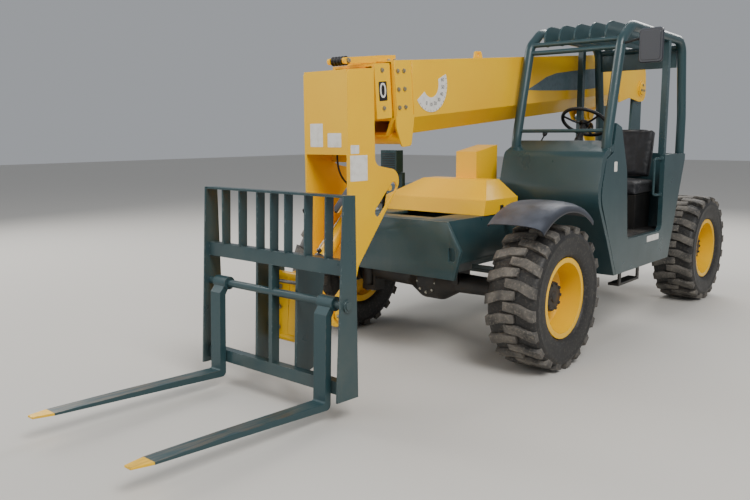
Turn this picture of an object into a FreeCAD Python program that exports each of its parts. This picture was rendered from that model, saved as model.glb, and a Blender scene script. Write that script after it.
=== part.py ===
import FreeCAD, Part
import math
import os
import re

import Sketcher

# Telescopic handler with a two-stage boom, an open cab and a pallet fork carriage.
# Row frame: +X forward, +Y to the machine's left, +Z up, millimetres.
# Shapes are drawn from the ground under the front axle; each piece's Placement then
# moves them so that the origin is the middle of the machine's footprint.

# Driving dimensions: name, value in millimetres unless the name says degrees or count.
SIZES = (
    # running gear
    ("wheelbase", 2960),
    ("track_width", 1880),
    ("tail_reach", 640),
    ("tyre_radius", 508),
    ("tyre_width", 380),
    ("tread_radius", 481),
    ("tread_half", 166),
    ("sidewall_radius", 415),
    ("lug_count", 20),
    ("rim_radius", 284),
    ("rim_half", 156),
    ("bead_radius", 262),
    ("rim_wall", 14),
    ("dish_depth", 60),
    ("hub_radius", 118),
    ("kingpin_half", 700),
    ("kingpin_radius", 30),
    ("knuckle_radius", 58),
    ("knuckle_half", 118),
    ("yoke_thickness", 40),
    ("spindle_radius", 55),
    ("axle_tube_radius", 76),
    ("differential_radius", 150),
    ("axle_pad_top", 604),
    # clearances
    ("pin_clearance", 0.5),
    ("slide_clearance", 0.5),
    ("seat_gap", 0.3),
    # chassis
    ("rail_inner", 205),
    ("rail_thickness", 30),
    ("rail_top", 1000),
    ("rail_low", 640),
    ("belly_low", 480),
    ("frame_front", 500),
    ("tower_centre", 149),
    ("tower_thickness", 26),
    ("tower_boss", 105),
    ("counterweight_half", 470),
    ("hitch_height", 750),
    ("hitch_gap", 50),
    ("hitch_plate", 20),
    ("tow_hole_radius", 16.5),
    # boom
    ("boom_pivot_x", -3420),
    ("boom_pivot_z", 2100),
    ("boom_slope_degrees", 4.7),
    ("boom_pin_radius", 40),
    ("boom_half", 195),
    ("boom_top", 365),
    ("boom_low", -20),
    ("boom_wall", 10),
    ("boom_front", 4190),
    ("boom_tail", 135),
    ("keel_depth", 115),
    ("keel_half", 112),
    ("keel_start", 560),
    ("middle_gap", 14),
    ("middle_wall", 9),
    ("middle_reach", 168),
    ("fly_wall", 8),
    ("stage_tail", 300),
    ("stage_stroke", 2300),
    # nose
    ("nose_reach", 430),
    ("nose_half", 195),
    ("nose_plate", 14),
    ("tilt_pin_x", 130),
    ("tilt_pin_z", -1383),
    ("tilt_pin_radius", 28),
    ("tilt_boss_radius", 85),
    ("tilt_base_x", -400),
    ("tilt_base_z", -613),
    ("tilt_lever_x", 60),
    ("tilt_lever_z", 220),
    # cylinders
    ("lift_base_x", -3250),
    ("lift_base_z", 900),
    ("lift_lug_along", 1000),
    ("lift_lug_drop", 205),
    ("lift_barrel_radius", 62),
    ("lift_rod_radius", 36),
    ("lift_eye_radius", 62),
    ("lift_pin_radius", 28),
    ("tilt_barrel_radius", 48),
    ("tilt_rod_radius", 26),
    ("tilt_eye_radius", 44),
    ("lever_pin_radius", 20),
    # carriage and forks
    ("heel_ahead", 467),
    ("heel_height", 74),
    ("carriage_back_degrees", 2.1),
    ("carriage_half", 624),
    ("carriage_height", 1237),
    ("carriage_plate", 12),
    ("fork_spread", 479),
    ("fork_width", 98),
    ("fork_thick", 45),
    ("fork_length", 1228),
    ("fork_tip_thick", 10),
    ("shaft_back", 70),
    ("shaft_height", 618),
    ("shaft_radius", 24),
    ("fork_eye_radius", 42),
    ("bar_low", 785),
    ("bar_high", 872),
    ("ear_spread", 182),
    # cab
    ("cab_inner", 235),
    ("cab_outer", 1078),
    ("cab_wall", 40),
    ("cab_low", 540),
    ("cab_floor", 800),
    ("cab_waist", 1470),
    ("cab_front", -585),
    ("cab_back", -2300),
    ("roof_height", 2490),
    ("post_radius", 38),
    ("post_lean", 190),
    ("door_front", -1080),
    ("door_back", -1810),
    ("wheel_x", -1130),
    ("wheel_z", 1725),
    ("wheel_lean_degrees", 35),
    ("wheel_ring", 183),
    ("wheel_rim", 15),
    ("dash_rear_x", -1012),
    ("dash_rear_z", 1498),
    ("dash_depth", 112),
    # engine side
    ("pod_front", -410),
    ("pod_back", -2240),
    ("pod_inner", -245),
    ("pod_outer", -1030),
    ("pod_low", 560),
    ("pod_top", 1090),
    ("pod_wall", 25),
    ("arch_top", 1022),
    ("hood_height", 88),
    ("hinge_radius", 12),
    ("hinge_pin_radius", 6),
    # front box and hood
    ("box_front", 560),
    ("box_back", -400),
    ("box_top", 1045),
    ("box_low", 620),
    ("box_half", 508),
    ("hood_front", 77),
    ("hood_top", 1285),
    ("hood_half", 474),
    ("hood_skirt", 110),
    ("hood_draft", 27),
    ("hood_run", 270),
    ("hood_inset", 172),
    ("hood_wall", 10),
    ("rest_half", 97),
    ("rest_top", 1495),
    # fenders
    ("fender_radius", 650),
    ("fender_inner", 700),
    ("fender_outer", 1118),
    ("fender_thick", 8),
    ("fender_sweep_degrees", 74),
    # mirror
    ("mirror_reach", 1370),
)

# Places worked out from the driving dimensions: name, formula.
PLACES = (
    ("fly_front", "boom_front + nose_reach"),
    ("fly_middle", "(boom_top + boom_low) / 2"),
    ("nose_x", "boom_pivot_x + fly_front * cos(boom_slope_degrees)"
               " + fly_middle * sin(boom_slope_degrees)"),
    ("nose_z", "boom_pivot_z - fly_front * sin(boom_slope_degrees)"
               " + fly_middle * cos(boom_slope_degrees)"),
    ("pin_x", "nose_x + tilt_pin_x"),
    ("pin_z", "nose_z + tilt_pin_z"),
    ("heel_x", "pin_x + heel_ahead"),
    ("fork_tip_x", "heel_x + fork_length * cos(carriage_back_degrees)"),
    ("front_axle_x", "(wheelbase + tail_reach - fork_tip_x) / 2"),
    ("tyre_outer", "track_width / 2 + tyre_width / 2"),
    ("bead_half", "rim_half - rim_wall - seat_gap"),
    ("centre_y", "(tyre_outer - mirror_reach) / 2"),
    ("rail_outer", "rail_inner + rail_thickness"),
    ("rail_centre", "rail_inner + rail_thickness / 2"),
    ("rear_x", "-wheelbase"),
    ("tail_x", "-wheelbase - tail_reach"),
    ("middle_half", "boom_half - boom_wall - middle_gap"),
    ("middle_top", "boom_top - boom_wall - middle_gap"),
    ("middle_low", "boom_low + boom_wall + middle_gap"),
    ("fly_half", "middle_half - middle_wall - middle_gap"),
    ("fly_top", "middle_top - middle_wall - middle_gap"),
    ("fly_low", "middle_low + middle_wall + middle_gap"),
    ("middle_front", "boom_front + middle_reach"),
    ("lug_x", "boom_pivot_x + lift_lug_along * cos(boom_slope_degrees)"
              " - lift_lug_drop * sin(boom_slope_degrees)"),
    ("lug_z", "boom_pivot_z - lift_lug_along * sin(boom_slope_degrees)"
              " - lift_lug_drop * cos(boom_slope_degrees)"),
    ("lift_length", "sqrt((lug_x - lift_base_x)^2 + (lug_z - lift_base_z)^2)"),
    ("lift_angle", "atan2(lug_z - lift_base_z; lug_x - lift_base_x)"),
    ("tilt_run", "tilt_pin_x + tilt_lever_x - tilt_base_x"),
    ("tilt_drop", "tilt_base_z - tilt_pin_z - tilt_lever_z"),
    ("tilt_length", "sqrt(tilt_run^2 + tilt_drop^2)"),
    ("tilt_angle", "atan2(-tilt_drop; tilt_run)"),
    ("cab_middle", "(cab_inner + cab_outer) / 2"),
    ("cab_width", "cab_outer - cab_inner"),
    ("room_middle", "cab_middle"),
    ("room_width", "cab_width - 2 * cab_wall"),
    ("post_inner", "cab_inner + post_radius"),
    ("post_outer", "cab_outer - post_radius"),
    ("post_foot_x", "cab_front - 120"),
    ("post_head_x", "post_foot_x - post_lean"),
    ("dash_top_x", "dash_rear_x + dash_depth"),
    ("dash_top_z", "dash_rear_z + dash_depth * tan(wheel_lean_degrees)"),
    ("column_length", "(dash_rear_x - wheel_x) * sin(wheel_lean_degrees)"
                      " + (wheel_z - dash_rear_z) * cos(wheel_lean_degrees) - seat_gap"),
    ("pod_middle", "(pod_inner + pod_outer) / 2"),
    ("pod_width", "pod_inner - pod_outer"),
    ("hinge_x", "pod_back - hinge_radius - 1"),
    ("hinge_z", "pod_top + hinge_radius + 2"),
)

document = FreeCAD.newDocument("Telehandler")
owners = {}


def cell(text):
    """The same expression with each named value written as its spreadsheet cell."""
    return re.sub(r"[a-z][a-z_]*", lambda m: owners.get(m.group(), m.group()), text)


def value(text):
    """The number that an expression of named values gives now."""
    return float(places.evalExpression(cell(text)))


def fill(sheet, rows, as_formula):
    for number, (name, content) in enumerate(rows, start=1):
        sheet.set(f"A{number}", name)
        sheet.set(f"B{number}", "=" + cell(content) if as_formula else str(content))
        sheet.setAlias(f"B{number}", name)
        owners[name] = f"{sheet.Name}.{name}"


sizes = document.addObject("Spreadsheet::Sheet", "Sizes")
fill(sizes, SIZES, False)
document.recompute()
places = document.addObject("Spreadsheet::Sheet", "Places")
fill(places, PLACES, True)
document.recompute()

# Frames in which pieces are drawn: x, y, z of the frame and its turn about Y in degrees.
FRAMES = {
    "ground": ("0", "0", "0", "0"),
    "boom": ("boom_pivot_x", "0", "boom_pivot_z", "boom_slope_degrees"),
    "nose": ("nose_x", "0", "nose_z", "0"),
    "pin": ("pin_x", "0", "pin_z", "0"),
    "carriage": ("heel_x", "0", "heel_height", "-carriage_back_degrees"),
    "lift": ("lift_base_x", "0", "lift_base_z", "-lift_angle"),
    "steering": ("wheel_x", "room_middle", "wheel_z", "-wheel_lean_degrees"),
    "tilt": ("nose_x + tilt_base_x", "0", "nose_z + tilt_base_z", "-tilt_angle"),
}

pieces = []


def place(thing, frame, move=("0", "0", "0"), half_turn=False):
    """Bind a piece's Placement to its frame, moved within it, or turned to face the right side."""
    *base, turn_degrees = FRAMES[frame]
    shift = ("front_axle_x", "centre_y", "0")
    axis, angle = FreeCAD.Vector(0, 1, 0), turn_degrees
    if half_turn:
        axis, angle = FreeCAD.Vector(0, 0, 1), "180"
    elif value(angle) < 0:
        axis, angle = -axis, f"-({angle})"
    turn = FreeCAD.Rotation(axis, value(angle))
    thing.Placement = FreeCAD.Placement(FreeCAD.Vector(), turn)
    if value(angle) > 0:
        thing.setExpression("Placement.Rotation.Angle", cell(angle))
    for letter, start, along, extra in zip("xyz", base, move, shift):
        thing.setExpression(f"Placement.Base.{letter}", cell(f"{start} + {along} + {extra}"))


def piece(name, frame="ground", **placing):
    """A new sub-part: a body with its own name and place."""
    body = document.addObject("PartDesign::Body", name)
    body.Label = name
    place(body, frame, **placing)
    pieces.append(body)
    return body


def sketch_on(body, name, plane, centre, shift=("0", "0")):
    """A sketch parallel to an origin plane; centre is where it crosses the third axis."""
    sketch = body.newObject("Sketcher::SketchObject", name + "_outline")
    origin_plane = [o for o in body.Origin.OriginFeatures if o.Role == plane + "_Plane"][0]
    sketch.AttachmentSupport = [(origin_plane, "")]
    sketch.MapMode = "FlatFace"
    lift = f"-({centre})" if plane == "XZ" else centre
    for letter, text in zip("xyz", (*shift, lift)):
        sketch.setExpression("AttachmentOffset.Base." + letter, cell(text))
    return sketch


def pin_point(sketch, geometry, spot, across, up):
    """Hold one point of the sketch at named distances from the sketch's origin."""
    for kind, text in (("DistanceX", across), ("DistanceY", up)):
        index = sketch.addConstraint(
            Sketcher.Constraint(kind, -1, 1, geometry, spot, value(text))
        )
        sketch.setExpression(f"Constraints[{index}]", cell(text))


def draw_round(sketch, across, up, radius):
    """A full circle with a named centre and radius."""
    centre = FreeCAD.Vector(value(across), value(up), 0)
    circle = Part.Circle(centre, FreeCAD.Vector(0, 0, 1), value(radius))
    index = sketch.addGeometry(circle, False)
    pin_point(sketch, index, 3, across, up)
    held = sketch.addConstraint(Sketcher.Constraint("Radius", index, value(radius)))
    sketch.setExpression(f"Constraints[{held}]", cell(radius))


def draw(sketch, corners, closed=True):
    """Straight runs through named corners (across, up), or (across, up, radius) if rounded."""
    spots = [FreeCAD.Vector(value(c[0]), value(c[1]), 0) for c in corners]
    count = len(corners)
    leave, arrive = list(spots), list(spots)
    rounds = {}
    for i, corner in enumerate(corners):
        if len(corner) < 3:
            continue
        radius = value(corner[2])
        before = (spots[i] - spots[i - 1]).normalize()
        after = (spots[(i + 1) % count] - spots[i]).normalize()
        reach = radius * math.tan(before.getAngle(after) / 2)
        arrive[i] = spots[i] - before * reach
        leave[i] = spots[i] + after * reach
        left_turn = before.cross(after).z > 0
        side = FreeCAD.Vector(-before.y, before.x, 0) * (1 if left_turn else -1)
        rounds[i] = (arrive[i] + side * radius, radius, left_turn)
    lines = []
    for i in range(count if closed else count - 1):
        line = Part.LineSegment(leave[i], arrive[(i + 1) % count])
        lines.append(sketch.addGeometry(line, False))
    for i, corner in enumerate(corners):
        if not closed and i in (0, count - 1):
            end = (lines[0], 1) if i == 0 else (lines[-1], 2)
            pin_point(sketch, *end, corner[0], corner[1])
            continue
        into, out = lines[i - 1], lines[i]
        if i not in rounds:
            sketch.addConstraint(Sketcher.Constraint("Coincident", into, 2, out, 1))
            pin_point(sketch, out, 1, corner[0], corner[1])
            continue
        centre, radius, left_turn = rounds[i]
        ends = (arrive[i], leave[i]) if left_turn else (leave[i], arrive[i])
        angles = [math.atan2(e.y - centre.y, e.x - centre.x) for e in ends]
        circle = Part.Circle(centre, FreeCAD.Vector(0, 0, 1), radius)
        arc = sketch.addGeometry(Part.ArcOfCircle(circle, *angles), False)
        first, last = (1, 2) if left_turn else (2, 1)
        sketch.addConstraint(Sketcher.Constraint("Tangent", into, 2, arc, first))
        sketch.addConstraint(Sketcher.Constraint("Tangent", arc, last, out, 1))
        held = sketch.addConstraint(Sketcher.Constraint("Radius", arc, radius))
        sketch.setExpression(f"Constraints[{held}]", cell(corner[2]))
        tip = sketch.addGeometry(Part.Point(spots[i]), True)
        sketch.addConstraint(Sketcher.Constraint("PointOnObject", tip, 1, into))
        sketch.addConstraint(Sketcher.Constraint("PointOnObject", tip, 1, out))
        pin_point(sketch, tip, 1, corner[0], corner[1])


def rectangle(low_across, high_across, low_up, high_up):
    return (
        (low_across, low_up),
        (high_across, low_up),
        (high_across, high_up),
        (low_across, high_up),
    )


def sided(side, near, far):
    """Two distances from the middle, on one side of it, the lower one first."""
    return sorted((f"{side} * ({near})", f"{side} * ({far})"), key=value)


def slab(body, name, plane, centre, width, *outlines, cut=False):
    """A plate or bar of a named width, half on each side of its centre plane.

    An outline is a tuple of corners, or (across, up, radius) as plain text for a circle.
    """
    sketch = sketch_on(body, name, plane, centre)
    for outline in outlines:
        if isinstance(outline[0], str):
            draw_round(sketch, *outline)
        else:
            draw(sketch, outline)
    kind = "Pocket" if cut else "Pad"
    feature = body.newObject("PartDesign::" + kind, name)
    feature.Profile = sketch
    feature.SideType = "Symmetric"
    feature.setExpression("Length", cell(width))
    return feature


def span(body, name, plane, start, end, *outlines, cut=False):
    """A slab from one named place to another."""
    return slab(
        body, name, plane, f"(({start}) + ({end})) / 2", f"({end}) - ({start})", *outlines, cut=cut
    )


def turned(body, name, plane, centre, shift, outline, axis="H_Axis", sweep="360", cut=False):
    """A solid of revolution about an axis of its sketch, half its sweep on each side of it."""
    sketch = sketch_on(body, name, plane, centre, shift)
    draw(sketch, outline)
    kind = "Groove" if cut else "Revolution"
    feature = body.newObject("PartDesign::" + kind, name)
    feature.Profile = sketch
    feature.ReferenceAxis = (sketch, [axis])
    feature.Midplane = True
    feature.setExpression("Angle", cell(sweep))
    return feature


def tapered(body, name, low, low_outline, high, high_outline, cut=False):
    """A straight-sided form between two level outlines with as many corners."""
    sketches = []
    for tag, level, outline in (("_low", low, low_outline), ("_high", high, high_outline)):
        sketch = sketch_on(body, name + tag, "XY", level)
        draw(sketch, outline)
        sketches.append(sketch)
    kind = "SubtractiveLoft" if cut else "AdditiveLoft"
    feature = body.newObject("PartDesign::" + kind, name)
    feature.Profile = sketches[0]
    feature.Sections = [sketches[1]]
    feature.Ruled = True
    return feature


def pipe(body, name, centre, path, radius):
    """A bent round tube that starts upright; its path lies in a plane parallel to XZ."""
    spine = sketch_on(body, name + "_path", "XZ", centre)
    draw(spine, path, closed=False)
    section = sketch_on(body, name + "_section", "XY", path[0][1], (path[0][0], centre))
    draw_round(section, "0", "0", radius)
    feature = body.newObject("PartDesign::AdditivePipe", name)
    feature.Profile = section
    feature.Spine = (spine, [])
    return feature


# Tyre: a flat-faceted carcass, two facets to a lug pitch, and bent bar lugs fused to it.
def spot(radius, degrees, along):
    angle = math.radians(degrees)
    return FreeCAD.Vector(radius * math.sin(angle), along, radius * math.cos(angle))


def flat(*corners):
    return Part.Face(Part.makePolygon([*corners, corners[0]]))


def closed(faces):
    shell = Part.Shell(faces)
    solid = Part.Solid(shell)
    return solid if solid.Volume > 0 else Part.Solid(shell.reversed())


def carcass():
    facets = 2 * int(value("lug_count"))
    spread = 1 / math.cos(math.pi / facets)
    # across, radius
    sections = (
        ("-bead_half", "rim_radius + 4"),
        ("-tyre_width / 2", "sidewall_radius"),
        ("-tread_half", "tread_radius"),
        ("tread_half", "tread_radius"),
        ("tyre_width / 2", "sidewall_radius"),
        ("bead_half", "rim_radius + 4"),
        ("bead_half", "bead_radius + seat_gap"),
        ("-bead_half", "bead_radius + seat_gap"),
    )
    rings = []
    for along, radius in sections:
        reach = value(radius) * spread
        rings.append([spot(reach, 360 * i / facets, value(along)) for i in range(facets)])
    faces = []
    for number, near in enumerate(rings):
        far = rings[(number + 1) % len(rings)]
        if abs(near[0].y - far[0].y) < 0.01:
            big, small = sorted((near, far), key=lambda points: -points[0].z)
            faces.append(flat(*big).cut(flat(*small)).Faces[0])
            continue
        for i in range(facets):
            j = (i + 1) % facets
            faces.append(flat(near[i], near[j], far[j], far[i]))
    return closed(faces)


def lug(side, turn):
    """One bent bar lug: stations from the middle of the tread to the shoulder."""
    half = value("tyre_width / 2")
    top = value("tyre_radius")
    base = value("tread_radius - 12")
    shoulder = value("sidewall_radius + 15")
    # across, turn in degrees, half angle at the top and at the foot, top and foot radius
    stations = (
        (-0.22 * half, -0.6, 3.4, 4.0, top, base),
        (0.40 * half, 0.6, 3.7, 4.3, top, base),
        (0.97 * half, 5.0, 3.9, 4.5, 0.985 * top, shoulder),
    )
    rings = []
    for along, lead, top_half, foot_half, high, low in stations:
        corners = (
            (high, lead - top_half),
            (high, lead + top_half),
            (low, lead + foot_half),
            (low, lead - foot_half),
        )
        rings.append([spot(radius, turn + degrees, side * along) for radius, degrees in corners])
    quads = [rings[0], rings[-1]]
    for near, far in zip(rings, rings[1:]):
        for i in range(4):
            j = (i + 1) % 4
            quads.append((near[i], near[j], far[j], far[i]))
    faces = []
    for a, b, c, d in quads:
        faces += [flat(a, b, c), flat(a, c, d)]
    return closed(faces)


def tyre_shape():
    count = int(value("lug_count"))
    pitch = 360 / count
    lugs = [lug(1, pitch * i) for i in range(count)]
    lugs += [lug(-1, pitch * (i + 0.5)) for i in range(count)]
    return carcass().fuse(lugs).removeSplitter()


# Wheels, knuckles and axles.
def tyre(name, frame_place):
    thing = document.addObject("Part::Feature", name)
    thing.Label = name
    thing.Shape = TYRE
    place(thing, "ground", **frame_place)
    pieces.append(thing)


def rim(name, frame_place):
    """Deep-dished rim with its hub; +Y is the outboard side."""
    body = piece(name, "ground", **frame_place)
    turned(
        body, "dish", "YZ", "0", ("0", "0"),
        (
            ("rim_half", "rim_radius"),
            ("rim_half", "bead_radius - rim_wall"),
            ("dish_depth - 60", "bead_radius - 2 * rim_wall"),
            ("-dish_depth", "hub_radius + 50"),
            ("-dish_depth", "spindle_radius + pin_clearance"),
            ("-dish_depth - 2 * rim_wall", "spindle_radius + pin_clearance"),
            ("-dish_depth - 2 * rim_wall", "bead_radius - 2 * rim_wall"),
            ("-rim_half", "bead_radius - 2 * rim_wall"),
            ("-rim_half", "rim_radius"),
            ("-rim_half + rim_wall", "rim_radius"),
            ("-rim_half + rim_wall", "bead_radius"),
            ("rim_half - rim_wall", "bead_radius"),
            ("rim_half - rim_wall", "rim_radius"),
        ),
    )
    span(
        body, "hub", "XZ", "-dish_depth - 1", "-dish_depth + 62",
        ("0", "0", "hub_radius"), ("0", "0", "spindle_radius + pin_clearance"),
    )
    span(body, "hub_cap", "XZ", "-dish_depth + 45", "-dish_depth + 62", ("0", "0", "hub_radius - 8"))


def knuckle(name, frame_place):
    """Steering knuckle: an upright barrel on the kingpin with a spindle for the wheel."""
    body = piece(name, "ground", **frame_place)
    offset = "kingpin_half - track_width / 2"
    turned(
        body, "barrel", "XZ", offset, ("0", "0"),
        (
            ("0", "-knuckle_half"),
            ("knuckle_radius", "-knuckle_half"),
            ("knuckle_radius + 14", "0"),
            ("knuckle_radius", "knuckle_half"),
            ("0", "knuckle_half"),
        ),
        axis="V_Axis",
    )
    slab(
        body, "kingpin_hole", "XY", "0", "3 * knuckle_half",
        ("0", offset, "kingpin_radius + pin_clearance"), cut=True,
    )
    turned(
        body, "spindle", "YZ", "0", ("0", "0"),
        (
            (offset + " + knuckle_radius - 12", "0"),
            (offset + " + knuckle_radius - 12", "spindle_radius + 34"),
            ("-dish_depth - 2 * rim_wall - slide_clearance - 22", "spindle_radius + 34"),
            ("-dish_depth - 2 * rim_wall - slide_clearance - 22", "spindle_radius + 50"),
            ("-dish_depth - 2 * rim_wall - slide_clearance", "spindle_radius + 50"),
            ("-dish_depth - 2 * rim_wall - slide_clearance", "spindle_radius"),
            ("-dish_depth + 40", "spindle_radius"),
            ("-dish_depth + 40", "0"),
        ),
    )


def axle(name, at_x):
    """Rigid axle housing with a differential bulge and a forked end round each kingpin."""
    body = piece(name, "ground", move=(at_x, "0", "tyre_radius"))
    inner_end = "kingpin_half - knuckle_radius - 30"
    turned(
        body, "housing", "YZ", "0", ("0", "0"),
        (
            (f"-({inner_end})", "0"),
            (f"-({inner_end})", "axle_tube_radius - 10"),
            ("-differential_radius - 70", "axle_tube_radius"),
            ("-differential_radius * 0.55", "differential_radius", "60"),
            ("differential_radius * 0.55", "differential_radius", "60"),
            ("differential_radius + 70", "axle_tube_radius"),
            (inner_end, "axle_tube_radius - 10"),
            (inner_end, "0"),
        ),
    )
    for side in (-1, 1):
        kingpin = f"{side} * kingpin_half"
        inner = f"{side} * ({inner_end} - 24)"
        for level in (-1, 1):
            gap = "knuckle_half + slide_clearance"
            span(
                body, "yoke", "XY", *sided(level, gap, gap + " + yoke_thickness"),
                (
                    ("-knuckle_radius", inner),
                    ("knuckle_radius", inner),
                    ("knuckle_radius", f"{side} * (kingpin_half + knuckle_radius)", "50"),
                    ("-knuckle_radius", f"{side} * (kingpin_half + knuckle_radius)", "50"),
                ),
            )
            ends = sided(level, "knuckle_half * 0.55", gap + " + yoke_thickness")
            span(body, "kingpin", "XY", *ends, ("0", kingpin, "kingpin_radius"))
        height = "knuckle_half + slide_clearance + yoke_thickness"
        web = rectangle("-knuckle_radius", "knuckle_radius", f"-({height})", height)
        span(body, "yoke_web", "XZ", *sided(side, f"{inner_end} - 24", inner_end), web)
        pad = rectangle("-85", "85", "0", "axle_pad_top - tyre_radius")
        span(body, "pad", "XZ", *sided(side, "rail_inner - 20", "rail_outer + 20"), pad)


# Chassis.
def frame_rails():
    """Two side rails, deepened amidships, each seated on both axles."""
    body = piece("frame_rails")
    rail = (
        ("frame_front", "rail_low"),
        ("frame_front", "rail_top"),
        ("boom_pivot_x + 520", "rail_top", "150"),
        ("boom_pivot_x + 430", "rail_top + 260", "120"),
        ("boom_pivot_x - 70", "rail_top + 260", "80"),
        ("tail_x + 32", "rail_top"),
        ("tail_x + 32", "rail_low"),
        ("rear_x + 560", "rail_low"),
        ("rear_x + 660", "belly_low"),
        ("-600", "belly_low"),
        ("-500", "rail_low"),
    )
    for side in (-1, 1):
        slab(body, "rail", "XZ", f"{side} * rail_centre", "rail_thickness", rail)
        ends = sided(side, "rail_inner - 20", "rail_outer + 20")
        for at_x in ("0", "rear_x"):
            seat = rectangle(f"{at_x} - 110", f"{at_x} + 110", "axle_pad_top", "rail_low + 30")
            span(body, "saddle", "XZ", *ends, seat)


def frame_crossmembers():
    """Plates welded across between the rails, ahead of the boom tower."""
    body = piece("frame_crossmembers")
    # low and high x, low and high z
    crosses = (
        ("frame_front - 40", "frame_front", "rail_low", "rail_top"),
        ("-480", "-450", "rail_low + 20", "rail_top - 60"),
        ("-760", "-600", "belly_low", "belly_low + 30"),
        ("-1500", "-1340", "belly_low", "belly_low + 30"),
        ("rear_x + 680", "rear_x + 960", "belly_low", "belly_low + 30"),
        ("rear_x + 230", "rear_x + 540", "rail_low", "rail_low + 30"),
    )
    for bounds in crosses:
        slab(body, "cross", "XZ", "0", "2 * (rail_inner - seat_gap)", rectangle(*bounds))


def tail_outlines():
    """The tail's upright plate and floor plate, seen from the side."""
    return (
        rectangle("tail_x + 110", "tail_x + 140", "rail_low", "rail_top + 60"),
        rectangle("tail_x + 140", "rear_x - 230", "rail_low", "rail_low + 30"),
    )


def boom_tower():
    """Two upright plates inside the boom's cheeks, each with its feet on the rail beside it."""
    body = piece("boom_tower")
    tower = (
        ("boom_pivot_x + tower_boss", "boom_pivot_z + tower_boss", "tower_boss - 5"),
        ("boom_pivot_x - tower_boss", "boom_pivot_z + tower_boss", "tower_boss - 5"),
        ("boom_pivot_x - 125", "rail_top"),
        ("boom_pivot_x - 125", "rail_low + 20"),
        ("boom_pivot_x + 560", "rail_low + 20"),
        ("boom_pivot_x + 480", "rail_top - 60"),
        ("boom_pivot_x + 150", "boom_pivot_z - 480"),
    )
    feet = (
        rectangle("boom_pivot_x - 120", "boom_pivot_x + 430", "rail_top + 100", "rail_top + 124"),
        rectangle("boom_pivot_x - 120", "boom_pivot_x + 500", "rail_low + 60", "rail_low + 84"),
    )
    for side in (-1, 1):
        slab(body, "plate", "XZ", f"{side} * tower_centre", "tower_thickness", tower)
        ends = sided(side, "tower_centre", "rail_inner - seat_gap")
        for outline in feet + tail_outlines():
            span(body, "foot", "XZ", *ends, outline)
    for at_x, at_z, radius in (
        ("boom_pivot_x", "boom_pivot_z", "boom_pin_radius"),
        ("lift_base_x", "lift_base_z", "lift_pin_radius"),
    ):
        bore = (at_x, at_z, radius + " + seat_gap")
        slab(body, "pin_hole", "XZ", "0", "2 * rail_inner", bore, cut=True)


def tower_crossmembers():
    """The tail plates between the tower's two sides, with the towing jaw behind them."""
    body = piece("tower_crossmembers")
    width = "2 * tower_centre - tower_thickness - 2 * seat_gap"
    for outline in tail_outlines():
        slab(body, "tail_plate", "XZ", "0", width, outline)
    # towing jaw: two plates with an upright pin hole
    jaw = (
        ("tail_x + 4", "-62", "40"),
        ("tail_x + 112", "-62"),
        ("tail_x + 112", "62"),
        ("tail_x + 4", "62", "40"),
    )
    for level in ("hitch_height - hitch_gap / 2 - hitch_plate", "hitch_height + hitch_gap / 2"):
        span(body, "jaw", "XY", level, level + " + hitch_plate", jaw)
    slab(
        body, "tow_hole", "XY", "hitch_height", "hitch_gap + 3 * hitch_plate",
        ("tail_x + 50", "0", "tow_hole_radius"), cut=True,
    )


def tower_pins():
    """The boom's pivot pin and the lift cylinder's lower pin, seated in the tower."""
    body = piece("tower_pins")
    slab(
        body, "boom_pin", "XZ", "0", "2 * boom_half + 24",
        ("boom_pivot_x", "boom_pivot_z", "boom_pin_radius"),
    )
    slab(
        body, "lift_pin", "XZ", "0", "2 * tower_centre + tower_thickness",
        ("lift_base_x", "lift_base_z", "lift_pin_radius"),
    )


def counterweight():
    body = piece("counterweight")
    slab(
        body, "block", "XY", "(rail_low + rail_top) / 2", "rail_top - rail_low - 20",
        (
            ("tail_x", "-counterweight_half", "60"),
            ("tail_x", "counterweight_half", "60"),
            ("tail_x + 120", "counterweight_half"),
            ("tail_x + 120", "rail_outer"),
            ("tail_x + 32", "rail_outer"),
            ("tail_x + 32", "-rail_outer"),
            ("tail_x + 120", "-rail_outer"),
            ("tail_x + 120", "-counterweight_half"),
        ),
    )
    notch = rectangle("-95", "95", "hitch_height - hitch_gap / 2 - hitch_plate - 10", "rail_top + 10")
    span(body, "notch", "YZ", "tail_x - 10", "tail_x + 60", notch, cut=True)


def front_box():
    """Welded box between the front wheels, with a hand hole and cut-back lower corners."""
    body = piece("front_box")
    plate = (
        ("-box_half", "box_top"),
        ("-box_half", "box_top - 240"),
        ("-box_half + 42", "box_low"),
        ("box_half - 42", "box_low"),
        ("box_half", "box_top - 240"),
        ("box_half", "box_top"),
    )
    hole = (
        ("box_half - 175", "box_top - 215", "34"),
        ("box_half - 105", "box_top - 215", "34"),
        ("box_half - 105", "box_top - 135", "34"),
        ("box_half - 175", "box_top - 135", "34"),
    )
    span(body, "face", "YZ", "box_front - 30", "box_front", plate, hole)
    wall = rectangle("box_back", "box_front - 25", "box_low + 120", "box_top")
    webs = (
        rectangle("box_back", "box_front - 28", "box_top - 22", "box_top"),
        rectangle("box_back", "box_back + 20", "box_low + 120", "box_top - 30"),
    )
    for side in (-1, 1):
        span(body, "wall", "XZ", *sided(side, "box_half - 60", "box_half - 42"), wall)
        span(body, "web", "XZ", *sided(side, "rail_outer", "box_half - 44"), *webs)


def hood_outline(back, front, half):
    return rectangle(back, front, f"-({half})", half)


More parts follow.
